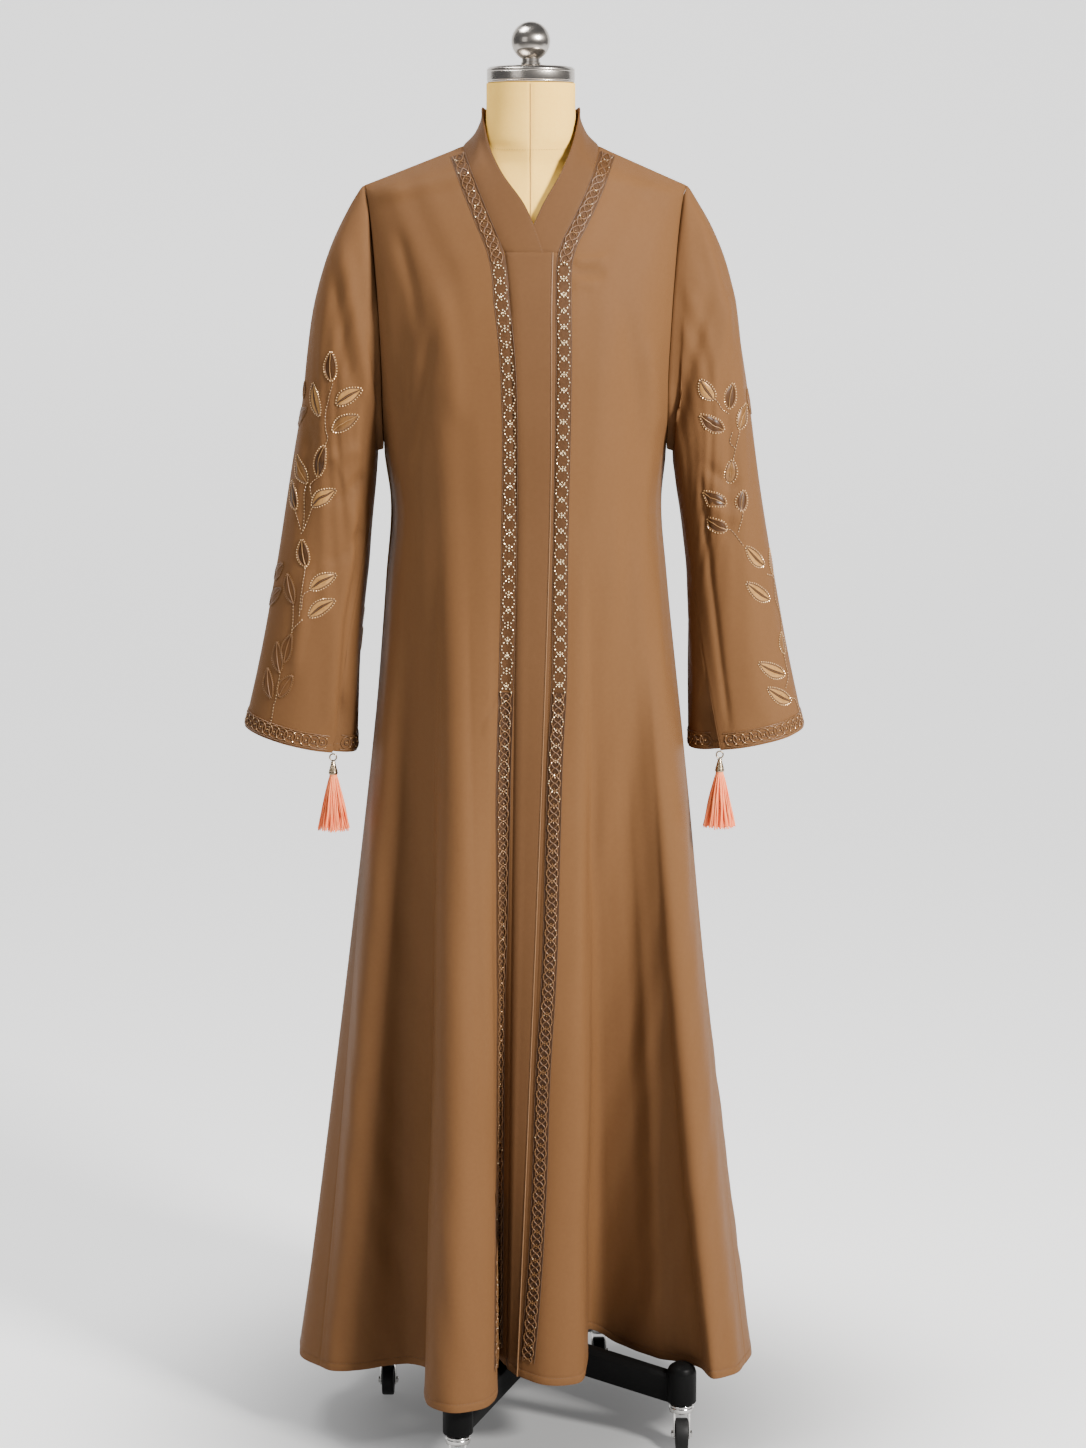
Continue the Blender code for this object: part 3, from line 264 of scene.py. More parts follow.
def edge_x(column: str, z: float) -> float:
    """Where a front edge of the table lies at height z."""
    heights = [e.z for e in FRONT_EDGES][::-1]
    return float(np.interp(z, heights, [getattr(e, column) for e in FRONT_EDGES][::-1]))


@dataclass(frozen=True)
class CloakPattern:
    """Coarse outer points of the cloak's nine sewn pieces."""

    armhole_inset: float = 0.010
    back_row_curve: float = 1.5
    placket_turn: float = 0.006
    placket_columns: int = 4
    over_share: float = 0.92
    under_share: float = 0.24
    under_turn: float = 1.35
    over_lift: float = 0.0024
    band_columns: int = 4
    band_rise: float = 0.040
    band_rise_power: float = 1.6
    band_rise_lean: float = 0.3
    sleeve_join: float = 0.20
    underarm_standoff: float = 0.007
    underarm_ease: float = 0.03
    cuff_drop: float = 0.012
    slit_share: float = 0.78
    slit_depth: float = 0.012

    def armhole_point(self, hand: int, row: int, side: int) -> Array:
        """Point of the armhole on a grid row; hand is -1 at the viewer's left."""
        z = UPPER_ROWS[row].armhole
        s = section_at(CLOTH_SECTIONS, z)
        half = s.left if hand < 0 else s.right
        last = len(UPPER_ROWS) - 1
        if row in (0, last):
            return np.array([hand * half, 0.0, z])
        inset = self.armhole_inset * math.sin(math.pi * row / last)
        return surface_point(hand * (half - inset), z, side)

    def front_upper(self, hand: int, folds: Sequence[Fold]) -> list[list[Array]]:
        """Rows of the front above the underarm."""
        seam = "right_seam" if hand < 0 else "left_seam"
        last = len(UPPER_ROWS) - 1
        grid = []
        for j, row in enumerate(UPPER_ROWS):
            arm = self.armhole_point(hand, j, -1)
            x0, z0 = edge_x(seam, row.front), row.front
            if j == 0:
                x0 = hand * NECK_POINT_X
            line = []
            for k, fold in enumerate(folds):
                even = k / (len(folds) - 1)
                share = even + (fold.waist - even) * ease(j / last)
                x, z = x0 + (arm[0] - x0) * share, z0 + (arm[2] - z0) * share
                if j == 0:
                    line.append(np.array([x, 0.0, z]))
                elif k == len(folds) - 1:
                    line.append(arm)
                else:
                    line.append(surface_point(x, z, -1))
            grid.append(line)
        return grid

    def back_neck_row(self, x: float, arm_x: float, back_z: float, in_neck: bool) -> Array:
        """Point of the back's top border, along the neck or the shoulder."""
        if in_neck:
            ride = 1 - (abs(x) / NECK_POINT_X) ** 2
            z = NECK_POINT_Z - (NECK_POINT_Z - back_z) * ride
            y = section_at(CLOTH_SECTIONS, back_z).back * math.sqrt(max(0.0, ride))
            return np.array([x, y, z])
        outer = max(0.0, (abs(x) - NECK_POINT_X) / (abs(arm_x) - NECK_POINT_X))
        return np.array([x, 0.0, NECK_POINT_Z + (TIP_Z - NECK_POINT_Z) * outer])

    def back_upper(self) -> list[list[Array]]:
        """Rows of the back above the underarm, from the right armhole to the left one."""
        last = len(UPPER_ROWS) - 1
        first, second = BACK_NECK_COLUMNS
        count = len(BACK_FOLDS) - 1
        grid = []
        for j, row in enumerate(UPPER_ROWS):
            arms = {-1: self.armhole_point(-1, j, 1), 1: self.armhole_point(1, j, 1)}
            line = []
            for k, fold in enumerate(BACK_FOLDS):
                hand = -1 if k < count / 2 else 1
                arm = arms[hand]
                if first <= k <= second:
                    turn = (k - (first + second) / 2) / ((second - first) / 2)
                    top = NECK_POINT_X / abs(arm[0]) * math.sin(turn * math.pi / 2)
                elif k < first:
                    top = -1 + (1 - NECK_POINT_X / abs(arm[0])) * k / first
                else:
                    top = 1 - (1 - NECK_POINT_X / abs(arm[0])) * (count - k) / (count - second)
                share = top + (fold.waist - top) * ease(j / last)
                x = abs(arm[0]) * share
                if j == 0:
                    line.append(self.back_neck_row(x, arm[0], row.back, first <= k <= second))
                elif k in (0, count):
                    line.append(arm)
                else:
                    z = row.back + (row.armhole - row.back) * abs(share) ** self.back_row_curve
                    line.append(surface_point(x, z, 1))
            grid.append(line)
        return grid

    def waist_point(self, share: float, hand: int, side: int) -> Array:
        """Point of the waist section between the front edge and the side seam."""
        s = section_at(CLOTH_SECTIONS, WAIST_Z)
        half = s.left if hand < 0 else s.right
        x0 = 0.0 if side > 0 else edge_x("right_seam" if hand < 0 else "left_seam", WAIST_Z)
        return surface_point(x0 + (hand * half - x0) * share, WAIST_Z, side)

    def skirt(self, folds: Sequence[Fold], hand: int, side: int) -> list[list[Array]]:
        """Rows from the waist to the hem, where each fold line runs to its own place."""
        grid = []
        for level in (0.0, *SKIRT_LEVELS):
            line = []
            for fold in folds:
                toward = hand if hand else (-1 if fold.waist < 0 else 1)
                top = self.waist_point(abs(fold.waist), toward, side)
                foot = np.array([fold.x, fold.y, fold.z])
                grow = np.array([level**FLARE_GROWTH, level**FOLD_GROWTH, level])
                line.append(top + (foot - top) * grow)
            grid.append(line)
        return grid

    def front(self, hand: int) -> Array:
        """Rows from shoulder to hem, columns from the front edge to the side seam."""
        folds = RIGHT_FRONT_FOLDS if hand < 0 else LEFT_FRONT_FOLDS
        return np.array(self.front_upper(hand, folds) + self.skirt(folds, hand, -1))

    def back(self) -> Array:
        """Rows from shoulder to hem, columns from the right side seam to the left one."""
        return np.array(self.back_upper() + self.skirt(BACK_FOLDS, 0, 1))

    def sleeve(self, hand: int, front: Array, back: Array) -> Array:
        """Rows from armhole to cuff, columns round from the underarm seam."""
        last = len(UPPER_ROWS) - 1
        back_column = 0 if hand < 0 else back.shape[1] - 1
        armhole = [back[j][back_column] for j in range(last, 0, -1)]
        armhole += [front[j][-1] for j in range(last + 1)]
        rows = RIGHT_SLEEVE if hand < 0 else LEFT_SLEEVE
        shares = [r.share for r in rows]
        columns = list(zip(*rows))[1:]
        grid = [armhole]
        count = len(armhole) - 1
        for share in SLEEVE_LEVELS:
            r = SleeveRow(share, *(float(np.interp(share, shares, c)) for c in columns))
            inner = np.array([r.inner_x, 0.0, r.inner_z])
            outer = np.array([r.outer_x, 0.0, r.outer_z])
            line = []
            for c in range(count + 1):
                around = 2 * math.pi * c / count - math.radians(r.seam_turn)
                middle = (inner + outer) / 2 + (inner - outer) / 2 * math.cos(around)
                corner = around + math.radians(rows[-1].seam_turn)
                drop = self.cuff_drop * ease(share) * (1 + math.cos(corner)) / 2
                point = middle + np.array([0.0, r.depth * math.sin(around), -drop])
                weight = ease(share / self.sleeve_join)
                under = (1 + math.cos(2 * math.pi * c / count)) / 2
                lift = hand * self.underarm_standoff * ease(share / self.underarm_ease)
                clear = lift * under * (1 - weight)
                line.append(armhole[c] * (1 - weight) + point * weight + np.array([clear, 0.0, 0.0]))
            grid.append(line)
        grid = np.array(grid)
        for j, share in enumerate((0.0, *SLEEVE_LEVELS)):
            opening = ease((share - self.slit_share) / (1 - self.slit_share) * 2)
            for c, part in ((0, 1.0), (1, 0.45)):
                grid[j][c] += np.array([0.0, self.slit_depth * opening * part, 0.0])
        return grid

    def placket_base(self, row: int, share: float, right: Array, left: Array) -> Array:
        """Point between the two fronts' edges on a grid row, from the right front (0) to the left (1)."""
        straight = right[row][0] + (left[row][0] - right[row][0]) * share
        waist = len(UPPER_ROWS)
        if row <= waist:
            return surface_point(straight[0], straight[2], -1)
        level = SKIRT_LEVELS[row - waist - 1]
        top = self.placket_base(waist, share, right, left)
        flat = right[waist][0] + (left[waist][0] - right[waist][0]) * share
        return straight + (top - flat) * (1 - level)

    def plackets(self, right: Array, left: Array) -> tuple[Array, Array]:
        """The over and under plackets, from the neckband's foot to the hem."""
        over, under = [], []
        for row in range(NECKLINE_ROWS, right.shape[0]):
            span = left[row][0] - right[row][0]
            away = np.array([span[1], -span[0], 0.0]) / math.hypot(span[0], span[1])
            turn = self.placket_turn / float(np.linalg.norm(span))
            shares = [0.0, *np.linspace(turn, self.over_share, self.placket_columns)]
            lifts = [0.0] + [self.over_lift] * self.placket_columns
            over.append([self.placket_base(row, t, right, left) + away * h for t, h in zip(shares, lifts)])
            reach = max(self.under_share, turn * self.under_turn)
            across = np.linspace(1.0, reach, self.placket_columns + 1)
            under.append([self.placket_base(row, t, right, left) for t in across])
        return np.array(over), np.array(under)

    def neckband(self, hand: int, front: Array, back: Array) -> Array:
        """Half the neckband: rows from the centre back round to the placket."""
        middle = (BACK_NECK_COLUMNS[0] + BACK_NECK_COLUMNS[1]) // 2
        end = BACK_NECK_COLUMNS[0] if hand < 0 else BACK_NECK_COLUMNS[1]
        seam = [back[0][k] for k in range(middle, end, hand)]
        seam += [front[j][0] for j in range(NECKLINE_ROWS + 1)]
        behind = abs(end - middle)
        column = "over_edge" if hand < 0 else "under_edge"
        lift = self.over_lift if hand < 0 else 0.0
        grid = []
        for i, base in enumerate(seam):
            if i <= behind:
                turn = math.pi / 2 * i / behind
                s = section_at(CLOTH_SECTIONS, BAND_TOP_Z)
                edge = np.array([hand * s.left * math.sin(turn), s.back * math.cos(turn), BAND_TOP_Z])
            else:
                z = UPPER_ROWS[i - behind].front
                rise = self.band_rise * (1 - (i - behind) / NECKLINE_ROWS) ** self.band_rise_power
                edge = surface_point(edge_x(column, z + rise * self.band_rise_lean), z + rise, -1)
            line = []
            for k in range(self.band_columns + 1):
                share = k / self.band_columns
                point = base + (edge - base) * share
                if 0 < k < self.band_columns:
                    if i <= behind:
                        s = section_at(CLOTH_SECTIONS, point[2])
                        half = s.left if hand < 0 else s.right
                        depth = s.back if point[1] > 0 else s.front
                        ring = math.hypot(point[0] / half, point[1] / depth)
                        point = np.array([point[0] / ring, point[1] / ring, point[2]])
                    else:
                        point = surface_point(point[0], point[2], -1)
                raised = lift * ease(share * 3) * ease((i - behind) / 2)
                line.append(point + np.array([0.0, -raised, 0.0]))
            grid.append(line)
        return np.array(grid)


@dataclass(frozen=True)
class Crease:
    """A ridge (depth above 0) or a valley pressed into the cloth along a line of x and z."""

    line: tuple[tuple[float, float], ...]
    width: float
    depth: float
    fade: float = 0.25

    def field(self, points: Array) -> Array:
        """How far the cloth moves out at each point.

        Args:
            points: places on the cloth, rows by columns by 3.

        Returns:
            The move along the normal, rows by columns.
        """
        flat = points[..., (0, 2)]
        corners = np.array(self.line)
        spans = np.linalg.norm(np.diff(corners, axis=0), axis=1)
        best = np.full(flat.shape[:2], 9.0)
        along = np.zeros(flat.shape[:2])
        walked = 0.0
        for a, b, length in zip(corners[:-1], corners[1:], spans):
            t = np.clip(((flat - a) @ (b - a)) / length**2, 0.0, 1.0)
            gap = np.linalg.norm(flat - (a + t[..., None] * (b - a)), axis=-1)
            nearer = gap < best
            best = np.where(nearer, gap, best)
            along = np.where(nearer, walked + t * length, along)
            walked += length
        share = along / walked
        ends = np.clip(np.minimum(share, 1 - share) / self.fade, 0.0, 1.0)
        ends = ends * ends * (3 - 2 * ends)
        return self.depth * np.exp(-((best / self.width) ** 2)) * ends


def spline(points: Array, spans: Array, at: Array) -> Array:
    """A smooth curve through the first axis of an array.

    Args:
        points: values at the knots, first axis along the curve.
        spans: distances between knots.
        at: places asked for, in knots.

    Returns:
        The curve's values at those places.
    """
    shape = (-1,) + (1,) * (points.ndim - 1)
    h = spans.reshape(shape)
    slope = np.diff(points, axis=0) / h
    tangents = np.empty_like(points)
    tangents[1:-1] = (slope[:-1] * h[1:] + slope[1:] * h[:-1]) / (h[1:] + h[:-1])
    tangents[0] = slope[0]
    tangents[-1] = slope[-1]
    i = np.clip(np.floor(at).astype(int), 0, len(points) - 2)
    t = (at - i).reshape(shape)
    span = h[i]
    return (
        points[i] * (2 * t**3 - 3 * t**2 + 1)
        + tangents[i] * span * (t**3 - 2 * t**2 + t)
        + points[i + 1] * (3 * t**2 - 2 * t**3)
        + tangents[i + 1] * span * (t**3 - t**2)
    )


def marks(spans: Array, step: float, near_start: Sequence[float], near_end: Sequence[float]) -> Array:
    """Places along a row of knots, evenly apart, with more of them close to the ends.

    Args:
        spans: distances between knots.
        step: the even distance.
        near_start: distances from the first knot that also get a place.
        near_end: distances from the last knot that also get a place.

    Returns:
        The places in knots, from 0 to the number of spans.
    """
    knots = np.concatenate([[0.0], np.cumsum(spans)])
    total = knots[-1]
    even = np.linspace(0.0, total, max(2, round(total / step)) + 1)
    low = max(near_start, default=0.0)
    high = total - max(near_end, default=0.0)
    kept = even[(even > low + step / 3) & (even < high - step / 3)]
    places = np.concatenate([[0.0], near_start, kept, total - np.array(near_end, float), [total]])
    return np.interp(np.unique(np.round(places, 6)), knots, np.arange(len(knots)))


def unit(vectors: Array) -> Array:
    """Vectors brought to length 1."""
    length = np.linalg.norm(vectors, axis=-1, keepdims=True)
    return vectors / np.maximum(length, 1e-12)


def lengths_along(grid: Array, axis: int) -> Array:
    """Distance walked along an axis of a grid, from its first border."""
    steps = np.linalg.norm(np.diff(grid, axis=axis), axis=-1)
    first = np.zeros_like(np.take(steps, [0], axis=axis))
    return np.concatenate([first, np.cumsum(steps, axis=axis)], axis=axis)


class Border(Enum):
    """The four borders of a piece's grid."""

    FIRST = "first"
    LAST = "last"
    TOP = "top"
    FOOT = "foot"


BODY_SPANS = np.array(
    [0.028, 0.032, 0.034, 0.036, 0.040, 0.050, 0.053, 0.053, 0.053, 0.055]
    + [1.055 * step for step in np.diff((0.0, *SKIRT_LEVELS))]
)
ARMHOLE_SPANS = np.concatenate([BODY_SPANS[:9][::-1], BODY_SPANS[:9]])


SEAM_ROWS = (0.0012, 0.0028, 0.005)
EDGE_ROWS = (0.001,)
HEM_ROWS = (0.0006, 0.0025, 0.006, 0.0083, 0.0092, 0.0100, 0.0112, 0.014)
HEM_FULLNESS = 0.00025
RIPPLE_LEAN = 0.05
RIPPLE_CALM = 0.03
FACING_LIMIT = 0.25
Ripple = namedtuple("Ripple", "wave fall")
RIPPLES = (Ripple(0.052, 1.9), Ripple(0.085, 2.6), Ripple(0.130, 3.1), Ripple(0.038, 1.3))


@dataclass(frozen=True)
class Roll:
    """How the cloth sinks along a line of stitches or a fold."""

    depth: float
    width: float

    def pull(self, gap: Array) -> Array:
        """Depth at distances from the line."""
        return self.depth * np.exp(-((gap / self.width) ** 2))


SEAM_ROLL = Roll(0.0008, 0.0017)
EDGE_ROLL = Roll(0.0005, 0.0011)
HEM_LINE = Roll(0.00045, 0.0009)
HEM_FOLD = Roll(0.0004, 0.0009)


def wall_faces(rows: int, columns: int) -> list[list[int]]:
    """Faces of a thin wall between two layers of a grid's points.

    Args:
        rows: rows of the grid.
        columns: columns of the grid.

    Returns:
        The outer faces, the inner faces and the rim, as point numbers; the inner layer comes second.
    """
    index = np.arange(rows * columns).reshape(rows, columns)
    far = index + rows * columns
    outer = np.stack([index[:-1, :-1], index[:-1, 1:], index[1:, 1:], index[1:, :-1]], -1).reshape(-1, 4)
    inner = np.stack([far[:-1, :-1], far[1:, :-1], far[1:, 1:], far[:-1, 1:]], -1).reshape(-1, 4)
    loop = np.concatenate([index[0, :-1], index[:-1, -1], index[-1, :0:-1], index[:0:-1, 0]])
    after = np.roll(loop, -1)
    rim = np.stack([after, loop, loop + rows * columns, after + rows * columns], -1)
    return np.vstack([outer, inner, rim]).tolist()


@dataclass
class Panel:
    """One sewn piece of cloth, refined from its coarse points, with seams, hem, creases and thickness."""

    name: str
    coarse: Array
    row_spans: Array | None = None
    column_spans: Array | None = None
    sewn: tuple[Border, ...] = ()
    edges: tuple[Border, ...] = ()
    hem: bool = False
    hem_width: float = 0.0095
    tube: bool = False
    step: float = 0.0075
    column_step: float = 0.0034
    ripple: float = 0.0006
    creases: tuple[Crease, ...] = ()
    seed: int = 1
    grid: Array = field(init=False)
    normals: Array = field(init=False)
    across: Array = field(init=False)
    down: Array = field(init=False)

    def __post_init__(self) -> None:
        """Refine, shape and measure the piece."""
        rows = self.row_spans
        if rows is None:
            rows = np.linalg.norm(np.diff(self.coarse, axis=0), axis=-1).mean(axis=1)
        columns = self.column_spans
        if columns is None:
            columns = np.linalg.norm(np.diff(self.coarse, axis=1), axis=-1).mean(axis=0)
        real = np.linalg.norm(np.diff(self.coarse, axis=1), axis=-1).mean(axis=0)
        near_top = SEAM_ROWS if Border.TOP in self.sewn else EDGE_ROWS
        down = marks(rows, self.step, near_top, HEM_ROWS if self.hem else EDGE_ROWS)
        over = marks(real, self.column_step, SEAM_ROWS, SEAM_ROWS)
        grid = spline(self.coarse, rows, down)
        grid = np.swapaxes(spline(np.swapaxes(grid, 0, 1), columns, over), 0, 1)
        self.grid = grid
        self.measure()
        self.grid = grid + self.normals * self.relief()[..., None]
        self.measure()

    def measure(self) -> None:
        """Work out the normals and the distances over the grid."""
        along = np.gradient(self.grid, axis=0)
        over = np.gradient(self.grid, axis=1)
        if self.tube:
            ends = self.grid[:, 1] - self.grid[:, -2]
            over[:, 0] = over[:, -1] = ends / 2
        normals = unit(np.cross(over, along))
        if self.tube:
            centre = self.grid.mean(axis=1, keepdims=True)
        else:
            centre = self.grid * np.array([0.0, 0.0, 1.0]) - np.array([0.0, 0.0, 0.05])
        if float(((self.grid - centre) * normals).sum()) < 0:
            normals = -normals
        self.normals = normals
        self.across = lengths_along(self.grid, 1)
        self.down = lengths_along(self.grid, 0)

    def from_border(self, border: Border) -> Array:
        """Distance of every point of the grid from one border."""
        if border is Border.FIRST:
            return self.across
        if border is Border.LAST:
            return self.across[:, -1:] - self.across
        if border is Border.TOP:
            return self.down
        return self.down[-1:] - self.down

    def relief(self) -> Array:
        """Seam rolls, the turned hem, creases and the cloth's own soft ripple, as a move along the normal."""
        move = np.zeros(self.grid.shape[:2])
        nearest = np.full(move.shape, 1.0)
        for borders, roll in ((self.sewn, SEAM_ROLL), (self.edges, EDGE_ROLL)):
            for border in borders:
                gap = self.from_border(border)
                move -= roll.pull(gap)
                nearest = np.minimum(nearest, gap)
        if self.hem:
            gap = self.from_border(Border.FOOT)
            move -= HEM_LINE.pull(gap - self.hem_width)
            move -= HEM_FOLD.pull(gap)
            move += HEM_FULLNESS * (gap < self.hem_width)
        rng = np.random.default_rng(self.seed)
        soft = np.zeros(move.shape)
        for wave, fall in RIPPLES:
            lean, phase = rng.uniform(-RIPPLE_LEAN, RIPPLE_LEAN), rng.uniform(0, 2 * math.pi)
            turns = (self.across + lean * self.down) / wave + self.down / fall
            soft += np.sin(2 * math.pi * turns + phase)
        move += self.ripple * soft / 2 * (1 - np.exp(-((nearest / RIPPLE_CALM) ** 2)))
        facing = self.normals[..., 1] < FACING_LIMIT
        for crease in self.creases:
            move += np.where(facing, crease.field(self.grid), 0.0)
        return move

    def at(self, rows: Array, columns: Array) -> tuple[Array, Array]:
        """Points and normals at places given in grid rows and columns."""
        rows = np.clip(np.asarray(rows, float), 0, self.grid.shape[0] - 1.0001)
        columns = np.clip(np.asarray(columns, float), 0, self.grid.shape[1] - 1.0001)
        j, i = rows.astype(int), columns.astype(int)
        v, u = (rows - j)[:, None], (columns - i)[:, None]

        def blend(values: Array) -> Array:
            """Mix the four corners of a cell."""
            top = values[j, i] * (1 - u) + values[j, i + 1] * u
            return top * (1 - v) + values[j + 1, i + 1] * u * v + values[j + 1, i] * (1 - u) * v

        return blend(self.grid), unit(blend(self.normals))

    def beside_last(self, gap: float) -> tuple[Array, Array]:
        """Points and normals on every row, at a distance inward from the last border."""
        rows = np.arange(self.grid.shape[0], dtype=float)
        return self.at(rows, np.array([np.interp(a[-1] - gap, a, np.arange(len(a))) for a in self.across]))

    def above_foot(self, around: Array, height: Array) -> tuple[Array, Array]:
        """Points at distances along the foot border and up from it."""
        columns = np.interp(around, self.across[-1], np.arange(self.grid.shape[1]))
        rows = np.empty_like(columns)
        last = self.grid.shape[0] - 1
        for k, (column, gap) in enumerate(zip(columns, height)):
            run = self.down[:, int(round(column))]
            rows[k] = np.interp(run[last] - gap, run, np.arange(last + 1))
        return self.at(rows, columns)

    def share_at(self, down: Array, around: Array) -> tuple[Array, Array]:
        """Points at shares of the length and of the way round."""
        return self.at(
            np.asarray(down, float) * (self.grid.shape[0] - 1),
            np.asarray(around, float) * (self.grid.shape[1] - 1),
        )

    def tree(self) -> BVHTree:
        """The outer face, for laying things on it."""
        rows, columns = self.grid.shape[:2]
        index = np.arange(rows * columns).reshape(rows, columns)
        quads = np.stack([index[:-1, :-1], index[:-1, 1:], index[1:, 1:], index[1:, :-1]], -1)
        points = (self.grid + AXIS).reshape(-1, 3).tolist()
        return BVHTree.FromPolygons(points, quads.reshape(-1, 4).tolist())

    def build(self, material: bpy.types.Material) -> bpy.types.Object:
        """Make the piece's wall as a closed mesh with a UV map in metres.

        Args:
            material: the cloth's finish.

        Returns:
            The finished object.
        """
        rows, columns = self.grid.shape[:2]
        outer = (self.grid + AXIS).reshape(-1, 3)
        inner = outer - self.normals.reshape(-1, 3) * CLOTH_THICKNESS
        mesh = bpy.data.meshes.new(self.name)
        mesh.from_pydata(np.vstack([outer, inner]).tolist(), [], wall_faces(rows, columns))
        lay = mesh.uv_layers.new(name="cloth")
        flat = np.stack([self.across, self.down], -1).reshape(-1, 2)
        corners = np.empty(len(mesh.loops), np.int32)
        mesh.loops.foreach_get("vertex_index", corners)
        lay.data.foreach_set("uv", flat[corners % (rows * columns)].astype(np.float32).ravel())
        turn_outward(mesh)
        mesh.shade_smooth()
        mesh.set_sharp_from_angle(angle=math.radians(62))
        mesh.materials.append(material)
        return new_object(self.name, mesh)


def turn_outward(mesh: bpy.types.Mesh) -> None:
    """Turn the faces of a closed mesh outward."""
    bm = bmesh.new()
    bm.from_mesh(mesh)
    bmesh.ops.recalc_face_normals(bm, faces=bm.faces)
    bm.to_mesh(mesh)
    bm.free()


def new_object(name: str, mesh: bpy.types.Mesh) -> bpy.types.Object:
    """Link a mesh to the scene as an object at the origin."""
    ob = bpy.data.objects.new(name, mesh)
    bpy.context.scene.collection.objects.link(ob)
    return ob


def dress(ob: bpy.types.Object, body: str = "root", nodes: Iterable[str] = ()) -> None:
    """Hide the CAD nodes that a finished piece stands for, and attach it to the body that it rides on."""
    nodes = list(nodes)
    if nodes:
        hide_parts(*nodes)
    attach(ob, body)
    LOG.info("%s: %d faces on %s", ob.name, len(ob.data.polygons), body)


class ShaderKit:
    """Node groups that several finishes share."""

    @staticmethod
    def group(name: str, inputs: dict[str, float], outputs: Sequence[str]) -> bpy.types.NodeTree:
        """Start a shader group with named inputs and outputs."""
        tree = bpy.data.node_groups.new(name, "ShaderNodeTree")
        tree.interface.new_socket(name="Vector", in_out="INPUT", socket_type="NodeSocketVector")
        for label, value in inputs.items():
            socket = tree.interface.new_socket(name=label, in_out="INPUT", socket_type="NodeSocketFloat")
            socket.default_value = value
        for label in outputs:
            tree.interface.new_socket(name=label, in_out="OUTPUT", socket_type="NodeSocketFloat")
        return tree

    @staticmethod
    def math_node(tree: bpy.types.NodeTree, kind: str, a: object, b: object = None) -> bpy.types.NodeSocket:
        """A Math node fed by sockets or numbers."""
        node = tree.nodes.new("ShaderNodeMath")
        node.operation = kind
        for slot, value in ((0, a), (1, b)):
            if isinstance(value, bpy.types.NodeSocket):
                tree.links.new(value, node.inputs[slot])
            elif value is not None:
                node.inputs[slot].default_value = value
        return node.outputs[0]

    @staticmethod
    def span(
        tree: bpy.types.NodeTree, value: bpy.types.NodeSocket, reads: Sequence[float], gives: Sequence[float],
        kind: str = "LINEAR",
    ) -> bpy.types.NodeSocket:
        """A Map Range node.

        Args:
            tree: the material's tree.
            value: the socket that it reads.
            reads: lowest and highest value read.
            gives: the values given for them.
            kind: how it runs between them.

        Returns:
            The node's result.
        """
        node = tree.nodes.new("ShaderNodeMapRange")
        node.interpolation_type = kind
        for label, number in zip(("From Min", "From Max", "To Min", "To Max"), (*reads, *gives)):
            node.inputs[label].default_value = number
        tree.links.new(value, node.inputs["Value"])
        return node.outputs["Result"]

    @classmethod
    def weave(cls) -> bpy.types.NodeTree:
        """Crossing threads with slight slubs, from the cloth's own UV map."""
        tree = bpy.data.node_groups.get("woven_threads")
        if tree:
            return tree
        tree = cls.group("woven_threads", {"Pitch": 0.0006, "Slub": 0.4}, ("Height",))
        source = tree.nodes.new("NodeGroupInput")
        sink = tree.nodes.new("NodeGroupOutput")
        split = tree.nodes.new("ShaderNodeSeparateXYZ")
        tree.links.new(source.outputs["Vector"], split.inputs[0])
        turns = cls.math_node(tree, "DIVIDE", 2 * math.pi, source.outputs["Pitch"])
        waves = []
        for axis in ("X", "Y"):
            angle = cls.math_node(tree, "MULTIPLY", split.outputs[axis], turns)
            waves.append(cls.math_node(tree, "SINE", angle))
        cross = cls.math_node(tree, "MULTIPLY", waves[0], waves[1])
        noise = tree.nodes.new("ShaderNodeTexNoise")
        noise.inputs["Scale"].default_value = 260.0
        noise.inputs["Detail"].default_value = 3.0
        stretch = tree.nodes.new("ShaderNodeMapping")
        stretch.inputs["Scale"].default_value = (1.0, 0.06, 1.0)
        tree.links.new(source.outputs["Vector"], stretch.inputs["Vector"])
        tree.links.new(stretch.outputs[0], noise.inputs["Vector"])
        slubs = cls.math_node(tree, "MULTIPLY", noise.outputs["Fac"], source.outputs["Slub"])
        height = cls.math_node(tree, "ADD", cls.math_node(tree, "MULTIPLY", cross, 0.5), slubs)
        tree.links.new(height, sink.inputs["Height"])
        return tree

    @classmethod
    def mottle(cls) -> bpy.types.NodeTree:
        """Slow variation of tone, with a finer one on top."""
        tree = bpy.data.node_groups.get("mottled_tone")
        if tree:
            return tree
        tree = cls.group("mottled_tone", {"Scale": 8.0, "Fine": 90.0, "Balance": 0.35}, ("Tone",))
        source = tree.nodes.new("NodeGroupInput")
        sink = tree.nodes.new("NodeGroupOutput")
        tones = []
        for label in ("Scale", "Fine"):
            noise = tree.nodes.new("ShaderNodeTexNoise")
            noise.inputs["Detail"].default_value = 4.0
            tree.links.new(source.outputs["Vector"], noise.inputs["Vector"])
            tree.links.new(source.outputs[label], noise.inputs["Scale"])
            tones.append(noise.outputs["Fac"])
        fine = cls.math_node(tree, "MULTIPLY", tones[1], source.outputs["Balance"])
        rest = cls.math_node(tree, "SUBTRACT", 1.0, source.outputs["Balance"])
        slow = cls.math_node(tree, "MULTIPLY", tones[0], rest)
        tree.links.new(cls.math_node(tree, "ADD", slow, fine), sink.inputs["Tone"])
        return tree


COAT_ROUGHNESS = 0.08
TONE_STOPS = (0.32, 0.68)
GLOSS_TONES = (0.3, 0.7)
BUMP_STRENGTH = 0.6


class Ground(Enum):
    """What a finish's pattern follows."""

    UV = "UV"
    OBJECT = "Object"


